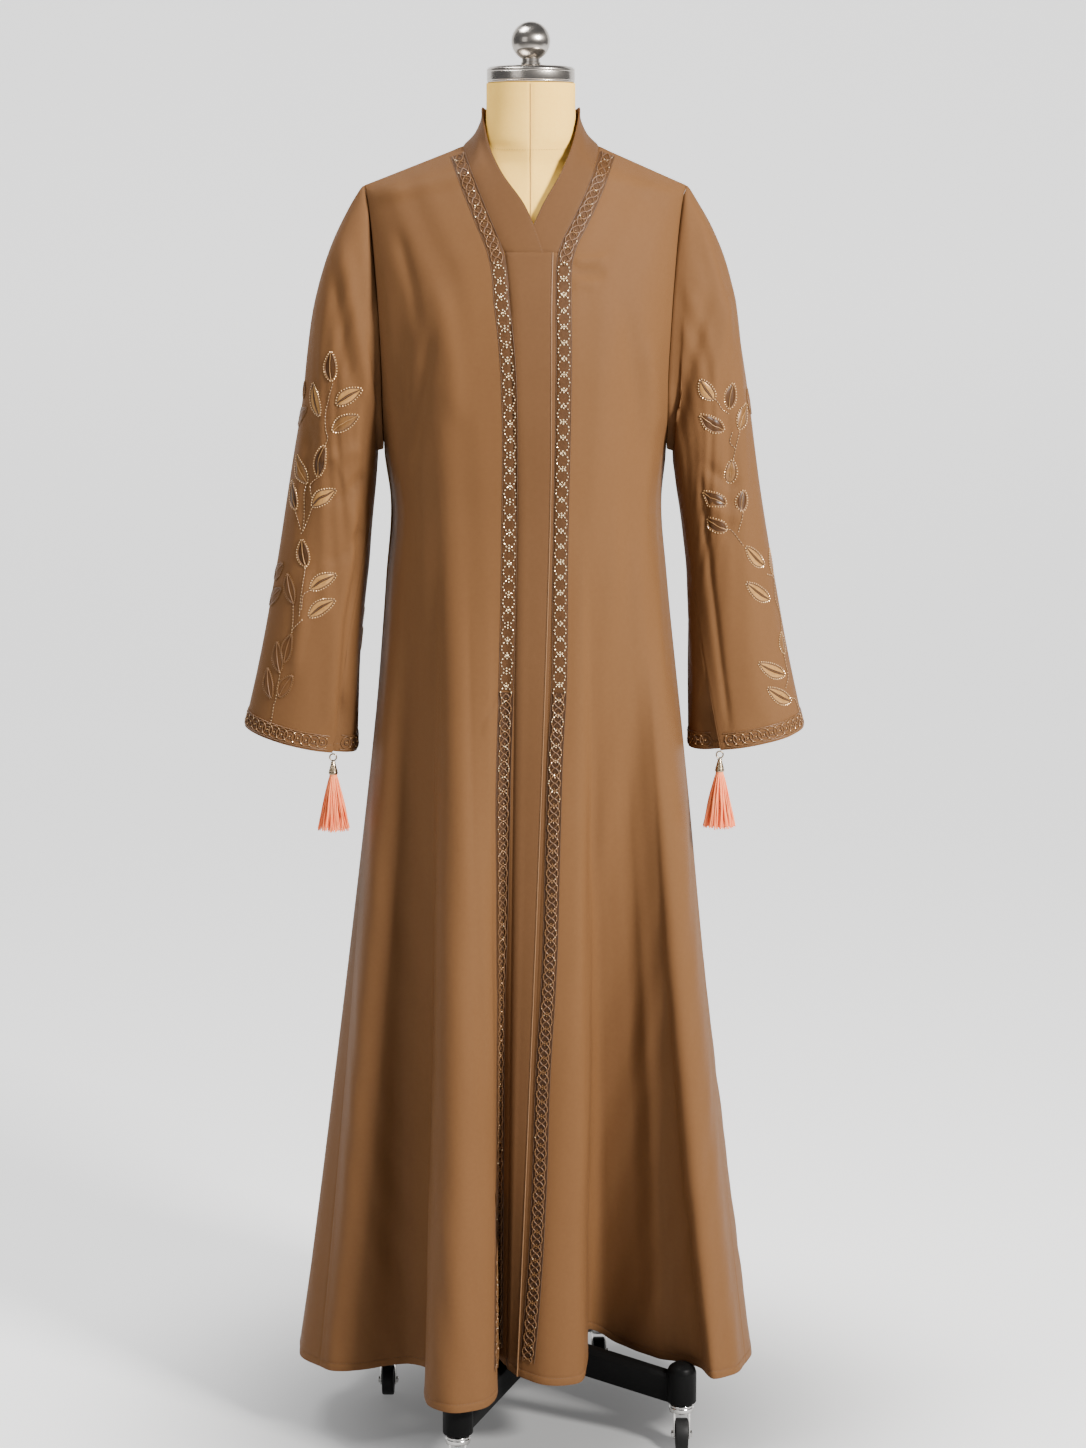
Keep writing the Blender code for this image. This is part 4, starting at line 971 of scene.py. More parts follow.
@dataclass(frozen=True)
class Finish:
    """A finish: two tones of one colour, its gloss, and the fine relief of its surface."""

    name: str
    colour: tuple[float, float, float]
    deep: tuple[float, float, float]
    roughness: float
    rough_change: float = 0.08
    metallic: float = 0.0
    coat: float = 0.0
    anisotropic: float = 0.0
    specular: float = 0.5
    ground: Ground = Ground.OBJECT
    weave_pitch: float = 0.0
    weave_depth: float = 0.0
    mottle: float = 8.0
    fine: float = 90.0
    balance: float = 0.35
    grain_depth: float = 0.0

    def material(self) -> bpy.types.Material:
        """Build the finish once and give it back."""
        known = bpy.data.materials.get(self.name)
        if known:
            return known
        mat = bpy.data.materials.new(self.name)
        mat.use_nodes = True
        tree = mat.node_tree
        shader = tree.nodes["Principled BSDF"]
        plain = {
            "Metallic": self.metallic, "Coat Weight": self.coat, "Coat Roughness": COAT_ROUGHNESS,
            "Anisotropic": self.anisotropic, "Specular IOR Level": self.specular,
        }
        for label, value in plain.items():
            shader.inputs[label].default_value = value
        place = tree.nodes.new("ShaderNodeTexCoord")
        vector = place.outputs[self.ground.value]
        tone = tree.nodes.new("ShaderNodeGroup")
        tone.node_tree = ShaderKit.mottle()
        for label, value in (("Scale", self.mottle), ("Fine", self.fine), ("Balance", self.balance)):
            tone.inputs[label].default_value = value
        tree.links.new(place.outputs["Object"], tone.inputs["Vector"])
        ramp = tree.nodes.new("ShaderNodeValToRGB")
        for stop, place_on, colour in zip(ramp.color_ramp.elements, TONE_STOPS, (self.deep, self.colour)):
            stop.position = place_on
            stop.color = (*colour, 1.0)
        tree.links.new(tone.outputs["Tone"], ramp.inputs["Fac"])
        tree.links.new(ramp.outputs["Color"], shader.inputs["Base Color"])
        half = self.rough_change / 2
        rough = (self.roughness + half, self.roughness - half)
        gloss = ShaderKit.span(tree, tone.outputs["Tone"], GLOSS_TONES, rough)
        tree.links.new(gloss, shader.inputs["Roughness"])
        height, depth = tone.outputs["Tone"], self.grain_depth
        if self.weave_pitch:
            weave = tree.nodes.new("ShaderNodeGroup")
            weave.node_tree = ShaderKit.weave()
            weave.inputs["Pitch"].default_value = self.weave_pitch
            tree.links.new(vector, weave.inputs["Vector"])
            height, depth = weave.outputs["Height"], self.weave_depth
        if depth:
            bump = tree.nodes.new("ShaderNodeBump")
            bump.inputs["Distance"].default_value = depth
            bump.inputs["Strength"].default_value = BUMP_STRENGTH
            tree.links.new(height, bump.inputs["Height"])
            tree.links.new(bump.outputs["Normal"], shader.inputs["Normal"])
        return mat


CLOAK_SATIN = Finish(
    "cloak_satin_look", (0.1435, 0.0680, 0.0275), (0.1270, 0.0590, 0.0230), 0.56, 0.06, specular=0.06,
    ground=Ground.UV, weave_pitch=0.0007, weave_depth=0.00010, mottle=3.0, fine=220.0, balance=0.30,
)
BAND_SATIN = Finish(
    "band_satin_look", (0.118, 0.0565, 0.0242), (0.102, 0.0480, 0.0198), 0.56, 0.06, specular=0.06,
    ground=Ground.UV, weave_pitch=0.0007, weave_depth=0.00010, mottle=5.0, fine=220.0, balance=0.30,
)
FORM_LINEN = Finish(
    "form_linen", (1.000, 0.630, 0.135), (0.980, 0.580, 0.110), 0.88, 0.06, specular=0.10,
    ground=Ground.UV, weave_pitch=0.0011, weave_depth=0.00022, mottle=12.0, fine=300.0, balance=0.55,
)
LINEN_THREAD = Finish(
    "linen_thread", (0.50, 0.29, 0.10), (0.38, 0.21, 0.07), 0.70, 0.10, mottle=90.0, fine=900.0,
)
STEEL = Finish(
    "turned_steel", (0.56, 0.52, 0.47), (0.44, 0.40, 0.36), 0.22, 0.10, metallic=1.0, anisotropic=0.6,
    mottle=20.0, fine=500.0, balance=0.5, grain_depth=0.00002,
)
CHROME = Finish(
    "caster_chrome", (0.70, 0.69, 0.67), (0.58, 0.57, 0.55), 0.18, 0.10, metallic=1.0,
    mottle=40.0, fine=400.0, grain_depth=0.00002,
)
BLACK_ENAMEL = Finish(
    "black_enamel", (0.005, 0.005, 0.005), (0.003, 0.003, 0.003), 0.42, 0.14, specular=0.06,
    mottle=25.0, fine=700.0, balance=0.5, grain_depth=0.00006,
)
TREAD = Finish(
    "wheel_tread", (0.010, 0.010, 0.010), (0.007, 0.007, 0.007), 0.60, 0.12, specular=0.25,
    mottle=60.0, fine=900.0, grain_depth=0.0001,
)
CORAL_SILK = Finish(
    "coral_silk", (1.00, 0.330, 0.135), (1.00, 0.200, 0.070), 0.50, 0.10, specular=0.15,
    mottle=60.0, fine=900.0, balance=0.5,
)
PALE_BRASS = Finish(
    "pale_brass", (0.46, 0.36, 0.24), (0.28, 0.21, 0.135), 0.26, 0.12, metallic=1.0, mottle=150.0, fine=900.0,
)
# Painted highlight: a pale bead material that stands for the glint of beads catching the light; the dull bead
# is the beads' own colour.
BEAD_PAINTED_GLINT = Finish(
    "bead_painted_glint", (1.00, 0.83, 0.53), (0.97, 0.68, 0.36), 0.20, 0.08, metallic=0.36, coat=0.8,
    mottle=300.0, fine=900.0,
)
BEAD_DULL = Finish(
    "bead_dull", (0.27, 0.135, 0.046), (0.16, 0.075, 0.024), 0.30, 0.12, metallic=0.4,
    mottle=300.0, fine=900.0,
)
GOLD_THREAD = Finish(
    "gold_thread", (0.34, 0.180, 0.064), (0.22, 0.110, 0.036), 0.36, 0.12, metallic=0.3,
    mottle=120.0, fine=1200.0, grain_depth=0.0001,
)
BROWN_THREAD = Finish(
    "brown_thread", (0.190, 0.088, 0.030), (0.120, 0.053, 0.017), 0.42, 0.12, metallic=0.15,
    mottle=120.0, fine=1200.0, grain_depth=0.0001,
)
WORK_THREAD = Finish(
    "work_thread", (0.148, 0.0670, 0.0228), (0.086, 0.0373, 0.0118), 0.42, 0.12, metallic=0.1,
    mottle=200.0, fine=1200.0, grain_depth=0.0001,
)
# Painted highlight: a thread lighter than the band satin, standing for the bright line where light catches the
# plackets' rolled edges.
EDGE_HIGHLIGHT_THREAD = Finish(
    "edge_painted_highlight", (0.225, 0.112, 0.0440), (0.180, 0.0870, 0.0330), 0.46, 0.10, mottle=120.0, fine=900.0,
)
SEAM_THREAD = Finish(
    "seam_thread", (0.100, 0.046, 0.017), (0.075, 0.033, 0.012), 0.60, 0.10, mottle=120.0, fine=900.0,
)
TRIM_GROUND = Finish(
    "trim_ground", (0.088, 0.0390, 0.0138), (0.052, 0.0222, 0.0073), 0.58, 0.12, specular=0.15,
    mottle=240.0, fine=1100.0, balance=0.55, grain_depth=0.0008,
)
TRIM_DENSE = Finish(
    "trim_dense", (0.056, 0.0240, 0.0080), (0.028, 0.0113, 0.0036), 0.54, 0.14, specular=0.20,
    mottle=260.0, fine=900.0, balance=0.55, grain_depth=0.0012,
)
LEAF_BEAD = Finish(
    "leaf_bead", (1.00, 0.66, 0.32), (0.62, 0.35, 0.140), 0.22, 0.10, metallic=0.45, coat=0.7,
    mottle=300.0, fine=900.0,
)
LEAF_BRIGHT = Finish(
    "leaf_bright", (0.60, 0.320, 0.106), (0.29, 0.136, 0.038), 0.30, 0.10, metallic=0.35, specular=0.4,
    mottle=200.0, fine=1500.0, balance=0.6, grain_depth=0.0002,
)
LEAF_BRONZE = Finish(
    "leaf_bronze", (0.24, 0.115, 0.036), (0.11, 0.048, 0.014), 0.32, 0.12, metallic=0.2, specular=0.4,
    mottle=160.0, fine=1500.0, balance=0.6, grain_depth=0.0002,
)
LEAF_DARK = Finish(
    "leaf_dark", (0.075, 0.032, 0.010), (0.036, 0.015, 0.005), 0.34, 0.12, specular=0.3,
    mottle=200.0, fine=1500.0, balance=0.6, grain_depth=0.0002,
)
LEAF_PLAIN = Finish(
    "leaf_plain", (0.130, 0.058, 0.020), (0.095, 0.041, 0.014), 0.42, 0.10, specular=0.2,
    mottle=200.0, fine=1500.0, balance=0.6, grain_depth=0.0002,
)


class NodeKit:
    """Geometry node trees for what is sewn on or laid along the cloth."""

    @staticmethod
    def start(name: str, numbers: dict[str, float]) -> bpy.types.NodeTree:
        """Start a tree with geometry in and out, numbers and a material."""
        tree = bpy.data.node_groups.new(name, "GeometryNodeTree")
        face = tree.interface
        face.new_socket(name="Geometry", in_out="INPUT", socket_type="NodeSocketGeometry")
        for label, value in numbers.items():
            socket = face.new_socket(name=label, in_out="INPUT", socket_type="NodeSocketFloat")
            socket.default_value = value
        face.new_socket(name="Smooth", in_out="INPUT", socket_type="NodeSocketBool")
        face.new_socket(name="Material", in_out="INPUT", socket_type="NodeSocketMaterial")
        face.new_socket(name="Geometry", in_out="OUTPUT", socket_type="NodeSocketGeometry")
        return tree

    @staticmethod
    def finish(tree: bpy.types.NodeTree, source: bpy.types.Node, geometry: bpy.types.NodeSocket) -> None:
        """Realize, shade and paint the geometry, and send it out."""
        real = tree.nodes.new("GeometryNodeRealizeInstances")
        shade = tree.nodes.new("GeometryNodeSetShadeSmooth")
        paint = tree.nodes.new("GeometryNodeSetMaterial")
        sink = tree.nodes.new("NodeGroupOutput")
        tree.links.new(geometry, real.inputs["Geometry"])
        tree.links.new(real.outputs["Geometry"], shade.inputs["Geometry"])
        tree.links.new(source.outputs["Smooth"], shade.inputs["Shade Smooth"])
        tree.links.new(shade.outputs["Geometry"], paint.inputs["Geometry"])
        tree.links.new(source.outputs["Material"], paint.inputs["Material"])
        tree.links.new(paint.outputs["Geometry"], sink.inputs["Geometry"])

    @classmethod
    def sewn_on(cls) -> bpy.types.NodeTree:
        """Beads or stitches: one small gem at each point, turned by the point's own directions."""
        tree = bpy.data.node_groups.get("sewn_on")
        if tree:
            return tree
        tree = cls.start("sewn_on", {"Length": 0.002, "Width": 0.002, "Height": 0.0014})
        nodes, links = tree.nodes, tree.links
        source = nodes.new("NodeGroupInput")
        gem = nodes.new("GeometryNodeMeshIcoSphere")
        gem.inputs["Radius"].default_value = 0.5
        gem.inputs["Subdivisions"].default_value = 1
        sizes = nodes.new("ShaderNodeCombineXYZ")
        for axis, label in (("X", "Length"), ("Y", "Width"), ("Z", "Height")):
            links.new(source.outputs[label], sizes.inputs[axis])
        scale = nodes.new("GeometryNodeTransform")
        links.new(gem.outputs["Mesh"], scale.inputs["Geometry"])
        links.new(sizes.outputs[0], scale.inputs["Scale"])
        turn = nodes.new("FunctionNodeAxesToRotation")
        turn.primary_axis = "Z"
        turn.secondary_axis = "X"
        for label, slot in (("facing", 0), ("run", 1)):
            read = nodes.new("GeometryNodeInputNamedAttribute")
            read.data_type = "FLOAT_VECTOR"
            read.inputs["Name"].default_value = label
            links.new(read.outputs["Attribute"], turn.inputs[slot])
        size = nodes.new("GeometryNodeInputNamedAttribute")
        size.data_type = "FLOAT"
        size.inputs["Name"].default_value = "size"
        place = nodes.new("GeometryNodeInstanceOnPoints")
        links.new(source.outputs["Geometry"], place.inputs["Points"])
        links.new(scale.outputs["Geometry"], place.inputs["Instance"])
        links.new(turn.outputs["Rotation"], place.inputs["Rotation"])
        links.new(size.outputs["Attribute"], place.inputs["Scale"])
        cls.finish(tree, source, place.outputs["Instances"])
        return tree

    @classmethod
    def laid_thread(cls) -> bpy.types.NodeTree:
        """A round thread along every line of edges."""
        tree = bpy.data.node_groups.get("laid_thread")
        if tree:
            return tree
        tree = cls.start("laid_thread", {"Radius": 0.0006})
        nodes, links = tree.nodes, tree.links
        source = nodes.new("NodeGroupInput")
        path = nodes.new("GeometryNodeMeshToCurve")
        ring = nodes.new("GeometryNodeCurvePrimitiveCircle")
        ring.inputs["Resolution"].default_value = 5
        sweep = nodes.new("GeometryNodeCurveToMesh")
        sweep.inputs["Fill Caps"].default_value = True
        links.new(source.outputs["Geometry"], path.inputs["Mesh"])
        links.new(source.outputs["Radius"], ring.inputs["Radius"])
        links.new(path.outputs["Curve"], sweep.inputs["Curve"])
        links.new(ring.outputs["Curve"], sweep.inputs["Profile Curve"])
        cls.finish(tree, source, sweep.outputs["Mesh"])
        return tree

    @staticmethod
    def run(
        name: str, mesh: bpy.types.Mesh, tree: bpy.types.NodeTree, values: dict[str, object]
    ) -> bpy.types.Object:
        """Run a tree on a mesh and keep the result as a plain mesh.

        Args:
            name: the piece's name.
            mesh: points or edges that the tree works on.
            tree: the node tree.
            values: its inputs by name.

        Returns:
            The finished object.
        """
        ob = new_object(name, mesh)
        modifier = ob.modifiers.new("nodes", "NODES")
        modifier.node_group = tree
        for item in tree.interface.items_tree:
            if item.item_type == "SOCKET" and item.in_out == "INPUT" and item.name in values:
                modifier[item.identifier] = values[item.name]
        bpy.context.view_layer.update()
        seen = ob.evaluated_get(bpy.context.evaluated_depsgraph_get())
        plain = bpy.data.meshes.new_from_object(seen)
        ob.modifiers.clear()
        ob.data = plain
        return ob


@dataclass
class Strewn:
    """Points with directions and sizes that wait to be sewn on."""

    points: list[Array] = field(default_factory=list)
    facing: list[Array] = field(default_factory=list)
    runs: list[Array] = field(default_factory=list)
    sizes: list[Array] = field(default_factory=list)

    def add(self, points: Array, facing: Array, size: float | Array = 1.0, runs: Array | None = None) -> None:
        """Add points in the garment's own frame."""
        if len(points) == 0:
            return
        if runs is None:
            runs = np.gradient(points, axis=0) if len(points) > 1 else np.array([[1.0, 0.0, 0.0]])
        self.points.append(np.asarray(points) + AXIS)
        self.facing.append(np.asarray(facing))
        self.runs.append(unit(np.asarray(runs)))
        self.sizes.append(np.broadcast_to(np.asarray(size, float), (len(points),)))

    def sew(self, name: str, finish: Finish, length: float, width: float, height: float) -> bpy.types.Object:
        """Sew on one gem or stitch for every point.

        Args:
            name: the piece's name.
            finish: what it is made of.
            length: size along the line.
            width: size across it.
            height: size off the cloth.

        Returns:
            The finished object.
        """
        points = np.vstack(self.points)
        mesh = bpy.data.meshes.new(name)
        mesh.from_pydata(points.tolist(), [], [])
        for label, values in (("facing", self.facing), ("run", self.runs)):
            layer = mesh.attributes.new(label, "FLOAT_VECTOR", "POINT")
            layer.data.foreach_set("vector", np.vstack(values).astype(np.float32).ravel())
        layer = mesh.attributes.new("size", "FLOAT", "POINT")
        layer.data.foreach_set("value", np.concatenate(self.sizes).astype(np.float32))
        values = {"Length": length, "Width": width, "Height": height, "Smooth": False}
        return NodeKit.run(name, mesh, NodeKit.sewn_on(), values | {"Material": finish.material()})


@dataclass
class Threads:
    """Lines of thread that wait to be laid."""

    lines: list[Array] = field(default_factory=list)

    def add(self, points: Array, facing: Array, lift: float) -> None:
        """Add one line, lifted off the cloth."""
        self.lines.append(points + facing * lift + AXIS)

    def lay(self, name: str, finish: Finish, radius: float) -> bpy.types.Object:
        """Lay all the lines as round thread.

        Args:
            name: the piece's name.
            finish: what it is made of.
            radius: the thread's radius.

        Returns:
            The finished object.
        """
        verts = np.vstack(self.lines)
        edges, start = [], 0
        for line in self.lines:
            edges += [(k, k + 1) for k in range(start, start + len(line) - 1)]
            start += len(line)
        mesh = bpy.data.meshes.new(name)
        mesh.from_pydata(verts.tolist(), edges, [])
        values = {"Radius": radius, "Smooth": True, "Material": finish.material()}
        return NodeKit.run(name, mesh, NodeKit.laid_thread(), values)


def evenly(points: Array, facing: Array, pitch: float) -> tuple[Array, Array]:
    """Places at an even pitch along a line of points.

    Args:
        points: the line.
        facing: the cloth's normals along it.
        pitch: the distance between places.

    Returns:
        The places and the normals there.
    """
    walked = np.concatenate([[0.0], np.cumsum(np.linalg.norm(np.diff(points, axis=0), axis=1))])
    count = max(2, round(walked[-1] / pitch) + 1)
    at = np.linspace(0, walked[-1], count)
    place = np.stack([np.interp(at, walked, points[:, k]) for k in range(3)], -1)
    turn = np.stack([np.interp(at, walked, facing[:, k]) for k in range(3)], -1)
    return place, unit(turn)


Profile = Sequence[tuple[float, float]]


def revolved(name: str, profile: Profile, sides: int, centre: Sequence[float]) -> bpy.types.Mesh:
    """Turn a profile round a vertical axis.

    Args:
        name: the mesh's name.
        profile: radius and height of its corners, from the top down.
        sides: faces round the axis.
        centre: a point of the axis.

    Returns:
        The turned solid as a mesh.
    """
    verts: list[tuple[float, float, float]] = []
    rings: list[list[int]] = []
    for radius, z in profile:
        if radius == 0:
            rings.append([len(verts)])
            verts.append((centre[0], centre[1], z))
            continue
        rings.append(list(range(len(verts), len(verts) + sides)))
        for i in range(sides):
            angle = 2 * math.pi * i / sides
            verts.append((centre[0] + radius * math.cos(angle), centre[1] + radius * math.sin(angle), z))
    faces = []
    for upper, lower in zip(rings[:-1], rings[1:]):
        for i in range(sides):
            k = (i + 1) % sides
            corners = [ring[n % len(ring)] for ring, n in ((upper, i), (lower, i), (lower, k), (upper, k))]
            faces.append(list(dict.fromkeys(corners)))
    mesh = bpy.data.meshes.new(name)
    mesh.from_pydata(verts, [], faces)
    turn_outward(mesh)
    return mesh


def rounded(profile: Profile, radius: float, steps: int = 4) -> list[tuple[float, float]]:
    """Round the corners of a profile that starts and ends on the axis.

    Args:
        profile: its corners.
        radius: how far the rounding reaches from a corner.
        steps: stretches of each rounding.

    Returns:
        The rounded profile.
    """
    points = [np.array(p, float) for p in profile]
    out = [points[0]]
    for before, corner, after in zip(points[:-2], points[1:-1], points[2:]):
        a, b = before - corner, after - corner
        reach = min(radius, 0.45 * float(np.linalg.norm(a)), 0.45 * float(np.linalg.norm(b)))
        start, end = corner + unit(a) * reach, corner + unit(b) * reach
        for k in range(steps + 1):
            t = k / steps
            out.append(start * (1 - t) ** 2 + corner * 2 * t * (1 - t) + end * t**2)
    out.append(points[-1])
    return [(float(p[0]), float(p[1])) for p in out]


def lofted(name: str, rings: Sequence[Sequence[Array]], looped: bool = False) -> bpy.types.Mesh:
    """A closed solid through rings of points.

    Args:
        name: the mesh's name.
        rings: rings of points, each with the same number.
        looped: whether the last ring meets the first, where it otherwise has flat ends.

    Returns:
        The solid as a mesh.
    """
    count = len(rings[0])
    verts = [tuple(map(float, p)) for ring in rings for p in ring]
    faces = [] if looped else [list(range(count))[::-1], list(range(len(verts) - count, len(verts)))]
    for j in range(len(rings) if looped else len(rings) - 1):
        for i in range(count):
            n, k = (j + 1) % len(rings), (i + 1) % count
            faces.append([j * count + i, j * count + k, n * count + k, n * count + i])
    mesh = bpy.data.meshes.new(name)
    mesh.from_pydata(verts, [], faces)
    turn_outward(mesh)
    return mesh


def joined(name: str, meshes: Sequence[bpy.types.Mesh], finish: Finish, sharp: float) -> bpy.types.Object:
    """Bring meshes into one object, smooth but for its sharp corners.

    Args:
        name: the piece's name.
        meshes: what it is made of; they are used up.
        finish: its finish.
        sharp: the angle in degrees past which an edge stays sharp.

    Returns:
        The finished object.
    """
    bm = bmesh.new()
    for mesh in meshes:
        bm.from_mesh(mesh)
        bpy.data.meshes.remove(mesh)
    mesh = bpy.data.meshes.new(name)
    bm.to_mesh(mesh)
    bm.free()
    mesh.shade_smooth()
    mesh.set_sharp_from_angle(angle=math.radians(sharp))
    mesh.materials.append(finish.material())
    return new_object(name, mesh)


@dataclass
class FormDress:
    """Linen cover, turned neck cap, ball finial and pole of the dress form."""

    sides: int = 112
    cover_rows: int = 120
    seam_depth: float = 0.0009
    seam_width: float = 0.0016
    neck_seam_front: float = 1.552
    neck_seam_back: float = 1.566
    stitch_pitch: float = 0.0032
    front_seam_top: float = 1.627
    front_seam_foot: float = 1.300
    front_seam_points: int = 60
    linen_turn: float = 0.055
    centre_seam_reach: float = 0.01
    cap_radius: float = 0.0510
    cap_top: float = 1.6485
    cap_foot: float = 1.6290
    ball_radius: float = 0.0225
    ball_z: float = 1.6765
    stem_radius: float = 0.0105
    stem_foot: float = 1.6489
    pole_radius: float = 0.0125
    pole_foot: float = 0.1223

    def cover(self) -> None:
        """The torso with its neck, covered in linen, with its seams pulled in."""
        heights = np.array([s.z for s in FORM_SECTIONS])
        values = np.array([[s.left, s.right, s.front, s.back, s.power] for s in FORM_SECTIONS])
        levels = np.linspace(heights[0], heights[-1], self.cover_rows)
        at = np.interp(levels, heights[::-1], np.arange(len(heights))[::-1])
        rings = []
        for place in at:
            j = min(int(place), len(heights) - 2)
            t = place - j
            z = heights[j] + (heights[j + 1] - heights[j]) * t
            section = Section(z, *(values[j] + (values[j + 1] - values[j]) * t))
            ring = []
            for i in range(self.sides):
                angle = 2 * math.pi * i / self.sides
                point = round_point(section, angle)
                x, y = point[:2]
                reach = math.hypot(x, y)
                share = (1 - math.sin(angle)) / 2
                base_z = self.neck_seam_back + (self.neck_seam_front - self.neck_seam_back) * share
                pull = math.exp(-(((z - base_z) / self.seam_width) ** 2))
                if abs(x) < self.centre_seam_reach:
                    pull = max(pull, math.exp(-((x / self.seam_width) ** 2)))
                point[:2] *= 1 - self.seam_depth * pull / reach
                ring.append(point + AXIS)
            rings.append(ring)
        mesh = lofted("form_cover", rings)
        lay = mesh.uv_layers.new(name="cloth")
        for corner in mesh.loops:
            x, y, z = mesh.vertices[corner.vertex_index].co
            angle = math.atan2(y - AXIS[1], x - AXIS[0])
            lay.data[corner.index].uv = (angle * self.linen_turn, z)
        ob = joined("form_cover", [mesh], FORM_LINEN, 50)
        self.seams()
        dress(ob, nodes=["form_torso"])

    @staticmethod
    def surface(angle: float, z: float) -> Array:
        """A point of the cover at an angle and a height."""
        return round_point(section_at(FORM_SECTIONS, z), angle)

    def seams(self) -> None:
        """The stitched line round the foot of the neck and the one down the centre front."""
        strewn, threads = Strewn(), Threads()
        turns = np.linspace(0, 2 * math.pi, 181)
        middle = (self.neck_seam_front + self.neck_seam_back) / 2
        swing = (self.neck_seam_back - self.neck_seam_front) / 2
        line = np.array([self.surface(a, middle + swing * math.sin(a)) for a in turns])
        away = unit(line * np.array([1.0, 1.0, 0.0]))
        strewn.add(*evenly(line, away, self.stitch_pitch))
        heights = np.linspace(self.front_seam_top, self.front_seam_foot, self.front_seam_points)
        down = np.array([self.surface(-math.pi / 2, z) for z in heights])
        threads.add(down, np.tile([0.0, -1.0, 0.0], (len(heights), 1)), 0.0)
        dress(strewn.sew("form_neck_stitches", LINEN_THREAD, 0.0021, 0.0005, 0.0007))
        dress(threads.lay("form_front_seam", LINEN_THREAD, 0.00035))

    def metal(self) -> None:
        """The neck cap with its ball, and the pole."""
        profile = [
            (0.0, self.cap_top), (self.cap_radius - 0.010, self.cap_top - 0.0003),
            (self.cap_radius - 0.003, self.cap_top - 0.0014), (self.cap_radius, self.cap_top - 0.0040),
            (self.cap_radius, self.cap_top - 0.0062), (self.cap_radius - 0.0006, self.cap_top - 0.0068),
            (self.cap_radius, self.cap_top - 0.0074), (self.cap_radius, self.cap_foot + 0.0030),
            (self.cap_radius - 0.0006, self.cap_foot + 0.0024),
            (self.cap_radius - 0.0002, self.cap_foot + 0.0018),
            (self.cap_radius - 0.0008, self.cap_foot), (0.0, self.cap_foot),
        ]
        cap = joined("neck_cap_turned", [revolved("cap", rounded(profile, 0.0008, 3), 96, AXIS)], STEEL, 50)
        low = -math.acos(self.stem_radius / self.ball_radius)
        ball = []
        for i in range(25):
            turn = math.pi / 2 + (low - math.pi / 2) * i / 24
            z = self.ball_z + self.ball_radius * math.sin(turn)
            ball.append((max(0.0, self.ball_radius * math.cos(turn)), z))
        ball[0] = (0.0, self.ball_z + self.ball_radius)
        foot = self.stem_foot
        stem = [
            (self.stem_radius, foot + 0.0042), (self.stem_radius + 0.0011, foot + 0.0034),
            (self.stem_radius + 0.0011, foot + 0.0014), (self.stem_radius, foot + 0.0008),
            (self.stem_radius, foot), (0.0, foot),
        ]
        finial = joined("ball_finial_turned", [revolved("ball", ball + stem, 64, AXIS)], STEEL, 40)
        head = FORM_SECTIONS[-1].z - 0.0003
        radius, low = self.pole_radius, self.pole_foot
        pole_profile = [(0.0, head), (radius, head), (radius, low), (0.0, low)]
        pole = joined("pole_turned", [revolved("pole", rounded(pole_profile, 0.0008, 2), 48, AXIS)], STEEL, 40)
        dress(cap, nodes=["neck_cap"])
        dress(finial, nodes=["ball_finial"])
        dress(pole, nodes=["pole"])

    def build(self) -> None:
        """Build the form."""
        self.cover()
        self.metal()


ArmEnd = namedtuple("ArmEnd", "reach bottom top half_width half_ridge")


